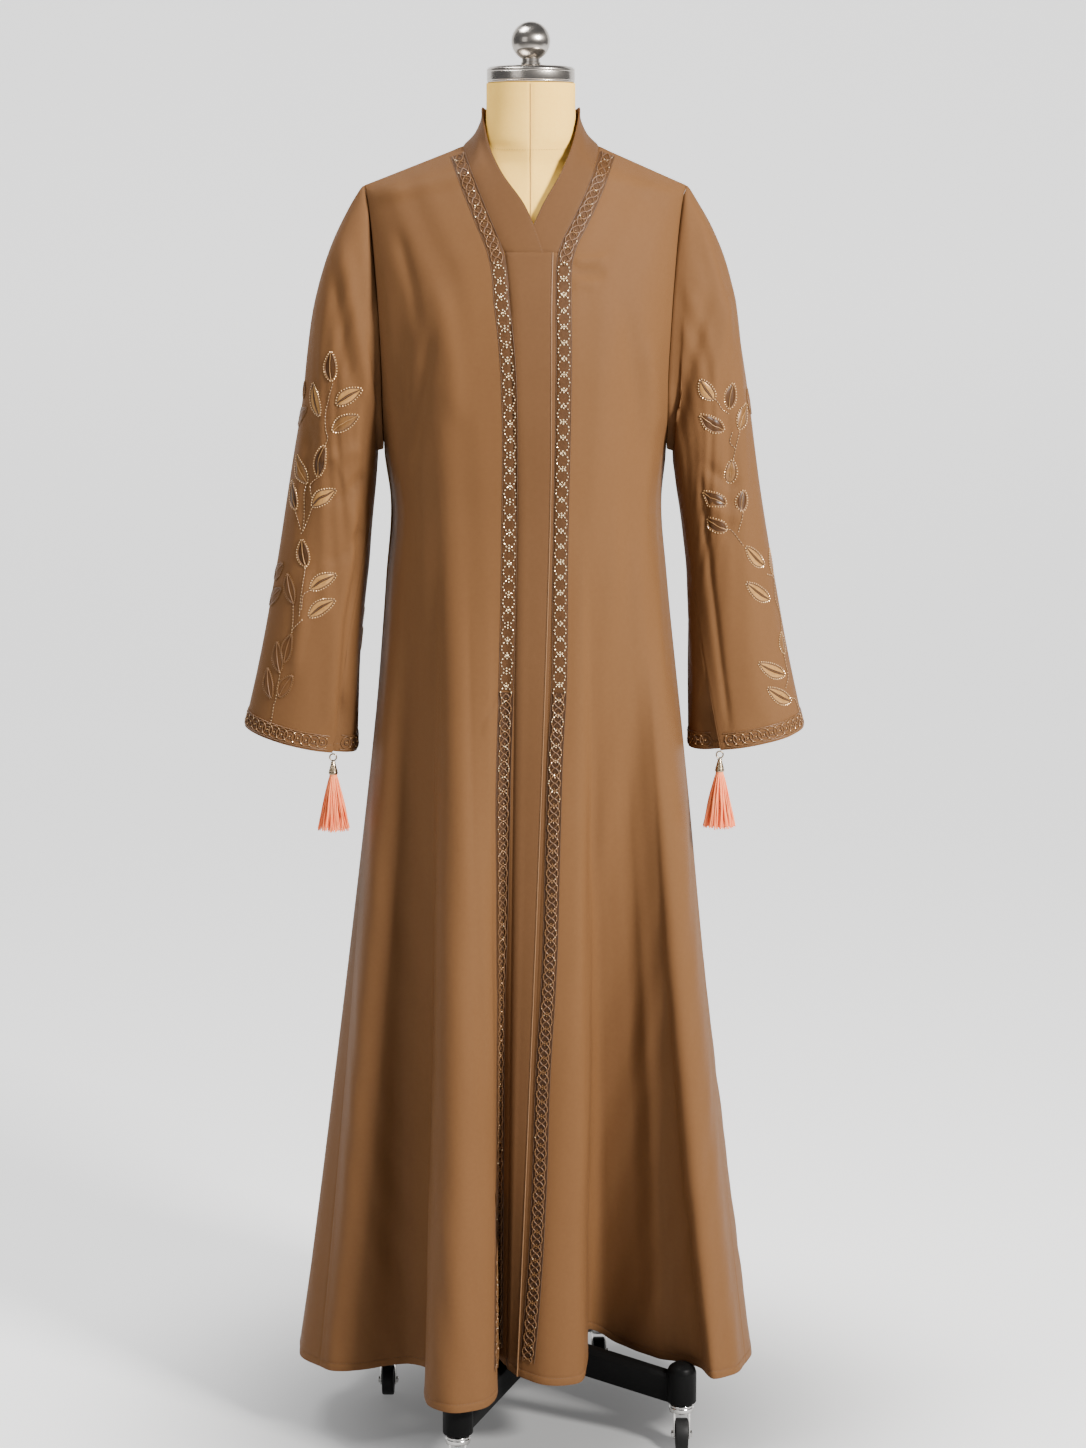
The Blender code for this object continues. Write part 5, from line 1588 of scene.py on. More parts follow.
@dataclass
class Stand:
    """Hub, four arms with dome posts, and a swivel caster under each."""

    hub: tuple[tuple[float, float], ...] = (
        (0.0, 0.122), (0.020, 0.122), (0.030, 0.116), (0.030, 0.069), (0.027, 0.066), (0.0, 0.066),
    )
    post: tuple[tuple[float, float], ...] = (
        (0.0, 0.1070), (0.0090, 0.1055), (0.0155, 0.1010), (0.0180, 0.0950), (0.0180, 0.0575),
        (0.0165, 0.0560), (0.0, 0.0560),
    )
    arm: tuple[ArmEnd, ArmEnd] = (
        ArmEnd(0.0303, 0.078, 0.1130, 0.0125, 0.0055), ArmEnd(0.190, 0.0565, 0.0915, 0.0115, 0.0050),
    )
    ridge_slope: float = 0.8
    reach: float = 0.202
    heading: float = math.radians(25.4)
    trail: float = 0.010
    race_foot: float = 0.0440
    edge_softness: float = 0.0012
    rim_softness: float = 0.0005
    stub_radius: float = 0.0022
    axle_radius: float = 0.0026
    wheel_radius: float = 0.0190
    wheel_half: float = 0.0075
    wheel_sides: int = 64
    bore: float = 0.0030
    plate_inner: float = 0.0079
    plate_thick: float = 0.0022
    plate_half_top: float = 0.0115
    plate_tip: float = 0.0065
    nut: float = 0.0045
    nut_length: float = 0.0030

    def arm_mesh(self, out: Array) -> bpy.types.Mesh:
        """A tapered arm with a ridged top and softened edges."""
        across = np.array([-out[1], out[0], 0.0])
        rings = []
        for t in np.linspace(0.0, 1.0, 9):
            a, b = self.arm
            reach, bottom, top, half, ridge = (x + (y - x) * t for x, y in zip(a, b))
            shoulder = top - (half - ridge) * self.ridge_slope
            outline = [
                (-half, bottom), (half, bottom), (half, shoulder),
                (ridge, top), (-ridge, top), (-half, shoulder),
            ]
            soft = []
            for k, corner in enumerate(outline):
                here = np.array(corner)
                before, after = np.array(outline[k - 1]), np.array(outline[(k + 1) % len(outline)])
                for s in (0.0, 0.5, 1.0):
                    start = here + unit(before - here) * self.edge_softness
                    end = here + unit(after - here) * self.edge_softness
                    soft.append(start * (1 - s) ** 2 + here * 2 * s * (1 - s) + end * s**2)
            rings.append([AXIS + out * reach + across * p[0] + np.array([0, 0, p[1]]) for p in soft])
        return lofted("arm", rings)

    def plate(self, outline: Profile, x0: float, x1: float, centre: Array) -> bpy.types.Mesh:
        """A flat plate in the YZ plane with softened rims.

        Args:
            outline: its corners in Y and Z.
            x0: where it starts.
            x1: where it ends.
            centre: the caster's centre.

        Returns:
            The plate as a mesh.
        """
        middle = np.mean(outline, axis=0)
        rings = []
        edge = min(self.rim_softness, abs(x1 - x0) / 4)
        toward = math.copysign(1.0, x1 - x0)
        for x, inset in ((x0, edge), (x0 + toward * edge, 0.0), (x1 - toward * edge, 0.0), (x1, edge)):
            ring = []
            for y, z in outline:
                away = unit(np.array([y, z]) - middle) * inset
                ring.append(centre + np.array([x, y - away[0], z - away[1]]))
            rings.append(ring)
        return lofted("plate", rings)

    def rod(self, radius: float, sides: int, x0: float, x1: float, centre: Array) -> bpy.types.Mesh:
        """A rod along X through the wheel's axle."""
        turns = [2 * math.pi * (i + 0.5) / sides for i in range(sides)]
        ring = [(-self.trail + radius * math.cos(a), self.wheel_radius + radius * math.sin(a)) for a in turns]
        return self.plate(ring, x0, x1, centre)

    def caster(self, number: int, centre: Array) -> None:
        """One fork with its race, plates and axle, and its wheel."""
        bottom = self.race_foot
        race = [
            (0.0, 0.0557), (0.0120, 0.0557), (0.0147, 0.0540), (0.0150, 0.0528), (0.0139, 0.0515),
            (0.0150, 0.0502), (0.0150, 0.0462), (0.0143, 0.0452), (0.0143, bottom), (0.0, bottom),
        ]
        parts = [revolved("race", rounded(race, 0.0006, 3), 48, centre)]
        turns = [math.pi * i / 14 for i in range(15)]
        outline = [(self.plate_half_top, bottom + 0.002), (-self.plate_half_top, bottom + 0.002)]
        outline += [
            (-self.trail - self.plate_tip * math.cos(a), self.wheel_radius - self.plate_tip * math.sin(a))
            for a in turns
        ]
        far = self.plate_inner + self.plate_thick
        for hand in (-1, 1):
            parts.append(self.plate(outline, hand * self.plate_inner, hand * far, centre))
            nut_end = far + self.nut_length * 0.8
            parts.append(self.rod(self.nut, 6, hand * (far - self.rim_softness), hand * nut_end, centre))
            parts.append(self.rod(self.stub_radius, 16, hand * far, hand * (far + self.nut_length), centre))
        parts.append(self.rod(self.axle_radius, 20, -far, far, centre))
        fork = joined(f"fork_{number}_plated", parts, CHROME, 35)
        dress(fork, f"caster_{number}", [f"caster_fork_{number}"])
        r, half = self.wheel_radius, self.wheel_half
        tread = [
            (self.bore, half), (0.0075, half), (0.0080, half - 0.0008), (0.0128, half - 0.0008),
            (0.0134, half), (r - 0.0018, half), (r - 0.0005, half - 0.0006), (r, half - 0.0020), (r, 0.0004),
        ]
        tread += [(radius, -x) for radius, x in reversed(tread)]
        turns = [2 * math.pi * i / self.wheel_sides for i in range(self.wheel_sides)]
        rings = [
            [
                centre + np.array([x, -self.trail + radius * math.cos(a), r + radius * math.sin(a)])
                for a in turns
            ]
            for radius, x in tread
        ]
        wheel = joined(f"wheel_{number}_turned", [lofted("wheel", rings, looped=True)], TREAD, 35)
        dress(wheel, f"wheel_{number}", [f"caster_wheel_{number}"])

    def build(self) -> None:
        """Build the whole stand."""
        hub = joined("hub_turned", [revolved("hub", rounded(self.hub, 0.0015), 64, AXIS)], BLACK_ENAMEL, 40)
        dress(hub, nodes=["hub"])
        for k in range(4):
            turn = -self.heading - k * math.pi / 2
            out = np.array([math.cos(turn), math.sin(turn), 0.0])
            centre = AXIS + out * self.reach
            parts = [self.arm_mesh(out), revolved("post", rounded(self.post, 0.0022, 5), 56, centre)]
            leg = joined(f"leg_{k + 1}_arm", parts, BLACK_ENAMEL, 40)
            dress(leg, nodes=[f"leg_{k + 1}"])
            self.caster(k + 1, centre)


GOLDEN_ANGLE = 2.39996


@dataclass
class Tassel:
    """Ring, cone cap and silk strands under the lowest corner of a cuff."""

    side: str
    corner: Array
    ring_radius: float = 0.0040
    ring_wire: float = 0.0009
    cap_top: float = 0.0026
    cap_foot: float = 0.0056
    cap_length: float = 0.0150
    core: float = 0.0046
    core_length: float = 0.0090
    strand_length: float = 0.0670
    strand_radius: float = 0.00075
    spread: float = 0.0160
    count: int = 120
    steps: int = 9
    root_reach: float = 0.0036
    hang: float = 0.85
    wave: float = 0.0006
    side_wave: float = 1.4
    shortest: float = 0.955
    gap: float = 0.0003

    def strands(self, root: Array) -> bpy.types.Object:
        """The strands, each with its own slight wave, through the thread tree."""
        rng = np.random.default_rng(11 if self.side == "right" else 12)
        threads = Threads()
        for k in range(self.count):
            share = math.sqrt((k + 0.5) / self.count)
            angle = k * GOLDEN_ANGLE + rng.uniform(-0.1, 0.1)
            out = np.array([math.cos(angle), math.sin(angle), 0.0])
            length = self.strand_length * rng.uniform(self.shortest, 1.0)
            level = np.linspace(0.0, 1.0, self.steps)
            reach = self.root_reach * share + self.spread * share * level**self.hang
            wave = self.wave * np.sin(level * rng.uniform(5, 9) + rng.uniform(0, 6)) * level
            side = np.array([-out[1], out[0], 0.0])
            line = root + out * (reach + wave)[:, None] + side * (wave * self.side_wave)[:, None]
            line[:, 2] -= length * level
            threads.add(line, np.zeros_like(line), 0.0)
        return threads.lay(f"tassel_{self.side}_silk", CORAL_SILK, self.strand_radius)

    def build(self) -> None:
        """Build the ring, the cap and the strands."""
        centre = np.array([self.corner[0], self.corner[1] + CLOTH_THICKNESS / 2, 0.0])
        ring_top = float(self.corner[2]) - self.gap
        middle = ring_top - self.ring_radius - self.ring_wire
        turns = np.linspace(0, 2 * math.pi, 41)
        rings = []
        wire = self.ring_wire
        hub = AXIS + centre + np.array([0, 0, middle])
        for t in turns[:-1]:
            out = np.array([math.cos(t), 0.0, math.sin(t)])
            rings.append([
                hub + out * (self.ring_radius + wire * math.cos(a)) + np.array([0.0, wire * math.sin(a), 0.0])
                for a in np.linspace(0, 2 * math.pi, 13)[:-1]
            ])
        ring = joined(f"tassel_{self.side}_link", [lofted("ring", rings, looped=True)], PALE_BRASS, 60)
        dress(ring, nodes=[f"tassel_{self.side}_ring"])
        top = ring_top - 2 * (self.ring_radius + self.ring_wire) - self.gap
        foot = top - self.cap_length
        profile = [
            (0.0, top), (self.cap_top, top), (self.cap_top + 0.0004, top - 0.0010),
            (self.cap_top - 0.0001, top - 0.0018),
        ]
        for k in range(1, 6):
            t = k / 6
            radius = self.cap_top + (self.cap_foot - self.cap_top) * t
            z = top - 0.0018 - (self.cap_length - 0.0050) * t
            profile += [(radius, z), (radius + 0.00025, z - 0.0006), (radius, z - 0.0012)]
        profile += [
            (self.cap_foot - 0.0004, foot + 0.0030), (self.cap_foot, foot + 0.0022),
            (self.cap_foot, foot + 0.0008), (self.cap_foot - 0.0006, foot), (0.0, foot),
        ]
        cone = revolved("cone", profile, 40, centre + AXIS)
        cap = joined(f"tassel_{self.side}_cone", [cone], PALE_BRASS, 45)
        dress(cap, nodes=[f"tassel_{self.side}_cap"])
        root = foot - self.gap
        core_profile = [
            (0.0, root), (self.core, root), (self.core + 0.0003, root - 0.003),
            (self.core, root - self.core_length * 0.8), (0.0, root - self.core_length),
        ]
        core = revolved("core", core_profile, 24, centre + AXIS)
        head = joined(f"tassel_{self.side}_head", [core], CORAL_SILK, 60)
        dress(head, nodes=[f"tassel_{self.side}_strands"])
        silk = self.strands(centre + np.array([0.0, 0.0, root - 0.0005]))
        dress(silk)


Lamp = namedtuple("Lamp", "name place aim size power tone")
LAMPS = (
    Lamp("key", (2.45, -2.35, 2.8), (0.0, 0.0, 1.15), 0.7, 420.0, (1.0, 0.98, 0.95)),
    Lamp("fill", (-2.2, -3.0, 2.2), (0.0, 0.0, 1.1), 1.6, 12.0, (1.0, 0.98, 0.96)),
    Lamp("top", (-1.1, -0.3, 3.6), (-0.1, 0.0, 1.4), 1.0, 85.0, (1.0, 1.0, 1.0)),
)
AIR_TONE = (0.93, 0.95, 1.0, 1.0)
AIR_STRENGTH = 0.16


@dataclass
class Studio:
    """Pale room, soft light and the camera."""

    camera_place: tuple[float, float, float] = (0.02185, -3.5815, 1.48)
    tilt: float = 9.59
    lens: float = 75.08
    wall_tone: tuple[float, float, float] = (0.62, 0.62, 0.62)
    paper_shade: float = 0.985
    paper_scale: float = 0.6
    glow: float = 1.12
    glow_from: tuple[float, float] = (-1.6, -0.1)
    # painted shadow: the paper's colour darkens within this distance of the origin, round the foot of the
    # stand
    painted_shadow_reach: tuple[float, float] = (0.12, 0.62)
    painted_shadow_tone: tuple[float, float] = (0.35, 1.0)
    # painted shadow: the paper's glow darkens within this distance of the origin, round the foot of the stand
    shade_reach: tuple[float, float] = (0.10, 0.75)
    shade_tone: tuple[float, float] = (0.12, 1.0)
    floor_front: float = -7.0
    floor_back: float = 5.0
    bend: float = 1.2
    bend_steps: int = 12
    wall_top: float = 7.0
    half_width: float = 9.0

    def backdrop(self) -> None:
        """Floor and wall in one curved sweep."""
        verts, faces = [], []
        profile = [(self.floor_front, 0.0), (self.floor_back, 0.0)]
        for k in range(1, self.bend_steps + 1):
            a = math.pi / 2 * k / self.bend_steps
            profile.append((self.floor_back + self.bend * math.sin(a), self.bend - self.bend * math.cos(a)))
        profile.append((self.floor_back + self.bend, self.wall_top))
        for y, z in profile:
            verts += [(-self.half_width, y, z), (self.half_width, y, z)]
        for k in range(len(profile) - 1):
            faces.append([2 * k, 2 * k + 1, 2 * k + 3, 2 * k + 2])
        mesh = bpy.data.meshes.new("backdrop")
        mesh.from_pydata(verts, [], faces)
        mesh.shade_smooth()
        mesh.materials.append(self.wall_paint())
        new_object("backdrop", mesh)

    def wall_paint(self) -> bpy.types.Material:
        """Matt pale paper that glows softly, with a painted shadow round the foot of the stand that darkens
        both its colour and its glow.
        """
        mat = bpy.data.materials.new("backdrop_paper")
        mat.use_nodes = True
        tree = mat.node_tree
        shader = tree.nodes["Principled BSDF"]
        for label, value in (("Roughness", 1.0), ("Specular IOR Level", 0.0), ("Emission Strength", 1.0)):
            shader.inputs[label].default_value = value
        place = tree.nodes.new("ShaderNodeTexCoord").outputs["Object"]
        noise = tree.nodes.new("ShaderNodeTexNoise")
        noise.inputs["Scale"].default_value = self.paper_scale
        ramp = tree.nodes.new("ShaderNodeValToRGB")
        tones = ([c * self.paper_shade for c in self.wall_tone], self.wall_tone)
        for stop, colour in zip(ramp.color_ramp.elements, tones):
            stop.color = (*colour, 1.0)
        split = tree.nodes.new("ShaderNodeSeparateXYZ")
        away = tree.nodes.new("ShaderNodeVectorMath")
        away.operation = "LENGTH"
        for socket in (noise.inputs["Vector"], split.inputs[0], away.inputs[0]):
            tree.links.new(place, socket)
        tree.links.new(noise.outputs["Fac"], ramp.inputs["Fac"])
        distance = away.outputs["Value"]
        # painted shadow under the stand, in the paper's colour and in its glow
        painted_shadow = ShaderKit.span(tree, distance, self.painted_shadow_reach, self.painted_shadow_tone, "SMOOTHSTEP")
        shade = ShaderKit.span(tree, distance, self.shade_reach, self.shade_tone, "SMOOTHSTEP")
        reach = ShaderKit.span(tree, split.outputs["Y"], self.glow_from, (0.0, self.glow), "SMOOTHSTEP")
        dimmed = tree.nodes.new("ShaderNodeVectorMath")
        dimmed.operation = "SCALE"
        tree.links.new(ramp.outputs["Color"], dimmed.inputs[0])
        tree.links.new(painted_shadow, dimmed.inputs["Scale"])
        tree.links.new(dimmed.outputs[0], shader.inputs["Base Color"])
        tone = tree.nodes.new("ShaderNodeCombineXYZ")
        both = ShaderKit.math_node(tree, "MULTIPLY", reach, shade)
        for axis in ("X", "Y", "Z"):
            tree.links.new(both, tone.inputs[axis])
        tree.links.new(tone.outputs[0], shader.inputs["Emission Color"])
        return mat

    @staticmethod
    def lamp(lamp: Lamp) -> None:
        """One soft square lamp that faces a point."""
        light = bpy.data.lights.new(lamp.name, "AREA")
        light.size = lamp.size
        light.energy = lamp.power
        light.color = lamp.tone
        ob = bpy.data.objects.new(lamp.name, light)
        ob.location = lamp.place
        ob.rotation_euler = (Vector(lamp.aim) - Vector(lamp.place)).to_track_quat("-Z", "Y").to_euler()
        bpy.context.scene.collection.objects.link(ob)

    def build(self) -> None:
        """Set the room, the lights and the camera."""
        self.backdrop()
        world = bpy.data.worlds.new("studio_air")
        world.use_nodes = True
        air = world.node_tree.nodes["Background"]
        air.inputs["Color"].default_value = AIR_TONE
        air.inputs["Strength"].default_value = AIR_STRENGTH
        bpy.context.scene.world = world
        for lamp in LAMPS:
            self.lamp(lamp)
        camera = bpy.data.cameras.new("camera")
        camera.lens = self.lens
        camera.sensor_width = 36.0
        camera.sensor_fit = "AUTO"
        ob = bpy.data.objects.new("camera", camera)
        ob.location = self.camera_place
        ob.rotation_euler = (math.radians(90 - self.tilt), 0.0, 0.0)
        bpy.context.scene.collection.objects.link(ob)
        bpy.context.scene.camera = ob


CREASES: dict[str, tuple[Crease, ...]] = {
    "sleeve_right": (
        Crease(((-0.222, 1.466), (-0.210, 1.402), (-0.190, 1.288), (-0.176, 1.218)), 0.009, 0.0042),
        Crease(((-0.232, 1.430), (-0.222, 1.360), (-0.205, 1.270)), 0.008, -0.0034),
        Crease(((-0.180, 1.482), (-0.178, 1.423), (-0.180, 1.347)), 0.008, -0.0038),
        Crease(((-0.236, 1.221), (-0.222, 1.186), (-0.206, 1.150)), 0.004, 0.0012),
        Crease(((-0.205, 1.165), (-0.214, 1.067), (-0.226, 1.009), (-0.238, 0.860)), 0.010, 0.0040, 0.15),
        Crease(((-0.198, 1.150), (-0.206, 1.067), (-0.217, 1.009), (-0.229, 0.870)), 0.0045, -0.0036, 0.15),
        Crease(((-0.190, 1.185), (-0.214, 1.160), (-0.243, 1.148)), 0.007, -0.0038),
        Crease(((-0.194, 1.215), (-0.222, 1.200), (-0.252, 1.192)), 0.008, 0.0036),
        Crease(((-0.196, 1.120), (-0.218, 1.090), (-0.246, 1.074)), 0.007, -0.0030),
        Crease(((-0.256, 1.245), (-0.262, 1.180), (-0.268, 1.110)), 0.007, -0.0034),
        Crease(((-0.262, 1.080), (-0.270, 1.010), (-0.281, 0.930)), 0.008, 0.0034),
    ),
    "front_right": (
        Crease(((-0.155, 1.470), (-0.135, 1.393), (-0.128, 1.340)), 0.008, -0.0024),
        Crease(((-0.105, 1.413), (-0.087, 1.312), (-0.082, 1.230)), 0.013, 0.0034),
        Crease(((-0.110, 1.359), (-0.128, 1.270), (-0.145, 1.177)), 0.010, -0.0036),
        Crease(((-0.056, 0.884), (-0.036, 0.926)), 0.0036, 0.0014),
        Crease(((-0.053, 0.906), (-0.033, 0.946)), 0.0036, -0.0014),
        Crease(((-0.150, 1.460), (-0.148, 1.350), (-0.150, 1.180), (-0.148, 1.000)), 0.016, -0.0050, 0.30),
        Crease(((-0.152, 1.177), (-0.148, 1.085), (-0.146, 0.921), (-0.149, 0.730), (-0.152, 0.544),
                (-0.157, 0.371), (-0.163, 0.080)), 0.021, -0.0110, 0.25),
        Crease(((-0.103, 1.430), (-0.095, 1.350), (-0.091, 1.200), (-0.089, 0.900)), 0.022, 0.0045, 0.30),
        Crease(((-0.091, 1.100), (-0.088, 0.996), (-0.086, 0.741), (-0.087, 0.564), (-0.088, 0.344),
                (-0.090, 0.080)), 0.023, 0.0080, 0.25),
        Crease(((-0.072, 1.088), (-0.067, 0.741), (-0.063, 0.639), (-0.058, 0.525), (-0.053, 0.358)),
               0.004, -0.0010),
        Crease(((-0.175, 1.004), (-0.190, 0.790), (-0.202, 0.554), (-0.216, 0.310), (-0.222, 0.150)),
               0.016, 0.0040, 0.3),
    ),
    "front_left": (
        Crease(((0.109, 1.400), (0.125, 1.270), (0.134, 1.160)), 0.012, -0.0034),
        Crease(((0.135, 1.343), (0.148, 1.218)), 0.010, 0.0028),
        Crease(((0.044, 1.426), (0.062, 1.4275), (0.090, 1.430)), 0.0046, 0.0022),
        Crease(((0.044, 1.415), (0.062, 1.4145), (0.090, 1.413)), 0.0044, -0.0026),
        Crease(((0.045, 1.404), (0.058, 1.4025), (0.078, 1.400)), 0.0044, 0.0020),
        Crease(((0.105, 1.400), (0.112, 1.300), (0.116, 1.180), (0.116, 0.950)), 0.016, -0.0030, 0.30),
        Crease(((0.116, 1.100), (0.116, 0.802), (0.119, 0.558), (0.123, 0.368), (0.131, 0.060)),
               0.020, -0.0100, 0.35),
        Crease(((0.074, 1.157), (0.078, 0.923), (0.081, 0.741), (0.070, 0.555), (0.052, 0.324),
                (0.045, 0.150)), 0.021, 0.0045, 0.3),
        Crease(((0.156, 1.100), (0.164, 0.838), (0.174, 0.674), (0.186, 0.496), (0.200, 0.253),
                (0.205, 0.060)), 0.027, 0.0065, 0.35),
    ),
    "sleeve_left": (
        Crease(((0.214, 1.412), (0.191, 1.334), (0.178, 1.282), (0.168, 1.214)), 0.009, -0.0040),
        Crease(((0.232, 1.400), (0.220, 1.330), (0.205, 1.250)), 0.008, 0.0036),
        Crease(((0.228, 1.310), (0.233, 1.197), (0.232, 1.084)), 0.008, -0.0040),
        Crease(((0.193, 1.496), (0.221, 1.381), (0.237, 1.312)), 0.008, 0.0034),
        Crease(((0.196, 1.196), (0.222, 1.176), (0.250, 1.166)), 0.007, -0.0036),
        Crease(((0.200, 1.150), (0.226, 1.134), (0.256, 1.128)), 0.007, 0.0032),
        Crease(((0.196, 1.200), (0.205, 1.110), (0.213, 1.040), (0.223, 0.960), (0.236, 0.865)),
               0.0042, -0.0030, 0.15),
        Crease(((0.227, 0.937), (0.245, 0.942), (0.263, 0.947)), 0.003, -0.0010),
    ),
}

Cut = namedtuple("Cut", "width length area")


@dataclass
class Cloak:
    """The nine sewn pieces of the cloak."""

    pattern: CloakPattern = field(default_factory=CloakPattern)
    panels: dict[str, Panel] = field(init=False)
    coarse: dict[str, Array] = field(init=False)

    def __post_init__(self) -> None:
        """Work out every piece."""
        p = self.pattern
        right, left, back = p.front(-1), p.front(1), p.back()
        over, under = p.plackets(right, left)
        self.coarse = {
            "front_right": right, "front_left": left, "back": back,
            "sleeve_right": p.sleeve(-1, right, back), "sleeve_left": p.sleeve(1, left, back),
            "neckband_right": p.neckband(-1, right, back), "neckband_left": p.neckband(1, left, back),
            "placket_over": over, "placket_under": under,
        }
        seam = (Border.FIRST, Border.LAST, Border.TOP)
        neck_rows = np.concatenate([[0.024] * 4, BODY_SPANS[:NECKLINE_ROWS]])
        tube = {"column_spans": ARMHOLE_SPANS, "sewn": seam, "hem": True, "tube": True, "step": 0.006,
                "column_step": 0.0036}
        placket = {
            "row_spans": BODY_SPANS[NECKLINE_ROWS:], "sewn": (Border.FIRST, Border.TOP),
            "edges": (Border.LAST,), "hem": True, "step": 0.0060, "column_step": 0.0030, "ripple": 0.0003,
        }
        band = {
            "row_spans": neck_rows, "sewn": (Border.FIRST, Border.TOP, Border.FOOT), "edges": (Border.LAST,),
            "step": 0.0045, "column_step": 0.0030, "ripple": 0.0002,
        }
        body = {"row_spans": BODY_SPANS, "sewn": seam, "hem": True}
        front = body | {"step": 0.0054}
        settings = {
            "front_right": front, "front_left": front, "back": body, "sleeve_right": tube, "sleeve_left": tube,
            "neckband_right": band, "neckband_left": band, "placket_over": placket, "placket_under": placket,
        }
        self.panels = {
            name: Panel(
                name=name + "_cloth", coarse=self.coarse[name], seed=k, creases=CREASES.get(name, ()), **kind
            )
            for k, (name, kind) in enumerate(settings.items())
        }

    def build(self) -> None:
        for name, panel in self.panels.items():
            banded = "band" in name or "placket" in name
            ob = panel.build((BAND_SATIN if banded else CLOAK_SATIN).material())
            dress(ob, nodes=[name])


PATCH_SINK = 0.0002


def patch(name: str, grid: Array, normals: Array, rise: Array) -> bpy.types.Mesh:
    """A thin closed patch that lies on the cloth.

    Args:
        name: the mesh's name.
        grid: places on the cloth, rows by columns by 3.
        normals: the cloth's normals there.
        rise: height of the patch's top over the cloth, rows by columns.

    Returns:
        The patch as a mesh.
    """
    points, out = grid.reshape(-1, 3) + AXIS, normals.reshape(-1, 3)
    top = points + out * rise.reshape(-1, 1)
    low = points - out * PATCH_SINK
    mesh = bpy.data.meshes.new(name)
    mesh.from_pydata(np.vstack([top, low]).tolist(), [], wall_faces(*rise.shape))
    turn_outward(mesh)
    return mesh


class Kind(Enum):
    """How a leaf is filled and outlined."""

    BRIGHT = "bright"
    BROWN = "brown"
    DARK = "dark"
    DULL = "dull"


Leaf = namedtuple("Leaf", "kind tip_down tip_around base_down base_around")
RIGHT_LEAVES = (
    Leaf(Kind.DARK, 0.235, 0.681, 0.266, 0.707),
    Leaf(Kind.BRIGHT, 0.344, 0.637, 0.358, 0.692),
    Leaf(Kind.BRIGHT, 0.143, 0.801, 0.272, 0.744),
    Leaf(Kind.BROWN, 0.187, 0.819, 0.327, 0.751),
    Leaf(Kind.DULL, 0.397, 0.624, 0.449, 0.561),
    Leaf(Kind.DULL, 0.374, 0.580, 0.395, 0.593),
    Leaf(Kind.DARK, 0.381, 0.732, 0.446, 0.732),
    Leaf(Kind.BROWN, 0.484, 0.615, 0.494, 0.686),
    Leaf(Kind.DARK, 0.528, 0.611, 0.553, 0.668),
    Leaf(Kind.BRIGHT, 0.406, 0.806, 0.505, 0.734),
    Leaf(Kind.DARK, 0.579, 0.723, 0.609, 0.762),
    Leaf(Kind.BRIGHT, 0.546, 0.877, 0.634, 0.799),
    Leaf(Kind.BRIGHT, 0.598, 0.891, 0.682, 0.816),
    Leaf(Kind.DULL, 0.658, 0.692, 0.689, 0.746),
    Leaf(Kind.DULL, 0.654, 0.657, 0.693, 0.615),
    Leaf(Kind.DULL, 0.690, 0.677, 0.736, 0.616),
    Leaf(Kind.DULL, 0.740, 0.767, 0.795, 0.761),
    Leaf(Kind.DULL, 0.773, 0.713, 0.816, 0.753),
    Leaf(Kind.DULL, 0.824, 0.698, 0.867, 0.742),
    Leaf(Kind.DULL, 0.807, 0.804, 0.857, 0.773),
)
LEFT_LEAVES = (
    Leaf(Kind.BRIGHT, 0.188, 0.756, 0.266, 0.742),
    Leaf(Kind.DARK, 0.335, 0.658, 0.354, 0.689),
    Leaf(Kind.DARK, 0.222, 0.795, 0.353, 0.732),
    Leaf(Kind.BROWN, 0.408, 0.611, 0.411, 0.671),
    Leaf(Kind.DULL, 0.400, 0.571, 0.440, 0.570),
    Leaf(Kind.BROWN, 0.430, 0.719, 0.456, 0.743),
    Leaf(Kind.DARK, 0.346, 0.860, 0.466, 0.783),
    Leaf(Kind.DARK, 0.504, 0.701, 0.525, 0.728),
    Leaf(Kind.DARK, 0.412, 0.866, 0.509, 0.800),
    Leaf(Kind.BRIGHT, 0.589, 0.740, 0.657, 0.676),
    Leaf(Kind.BRIGHT, 0.644, 0.770, 0.713, 0.686),
    Leaf(Kind.BROWN, 0.650, 0.605, 0.687, 0.626),
    Leaf(Kind.BROWN, 0.776, 0.657, 0.809, 0.668),
    Leaf(Kind.BRIGHT, 0.791, 0.798, 0.839, 0.697),
    Leaf(Kind.BRIGHT, 0.842, 0.788, 0.885, 0.701),
)
RIGHT_STEMS = (
    ((0.264, 0.714), (0.306, 0.713), (0.332, 0.713), (0.353, 0.725), (0.357, 0.739), (0.380, 0.734)),
    ((0.451, 0.730), (0.484, 0.706), (0.494, 0.723), (0.497, 0.737)),
    ((0.502, 0.685), (0.518, 0.686), (0.558, 0.717), (0.571, 0.715)),
    ((0.556, 0.665), (0.568, 0.706)),
    ((0.511, 0.734), (0.556, 0.723)),
    ((0.613, 0.762), (0.640, 0.769), (0.674, 0.776), (0.696, 0.783)),
    ((0.636, 0.800), (0.656, 0.780), (0.682, 0.785)),
    ((0.689, 0.746), (0.718, 0.762), (0.736, 0.767)),
    ((0.699, 0.796), (0.732, 0.765)),
    ((0.816, 0.755), (0.864, 0.763), (0.875, 0.761), (0.897, 0.765), (0.940, 0.765)),
)
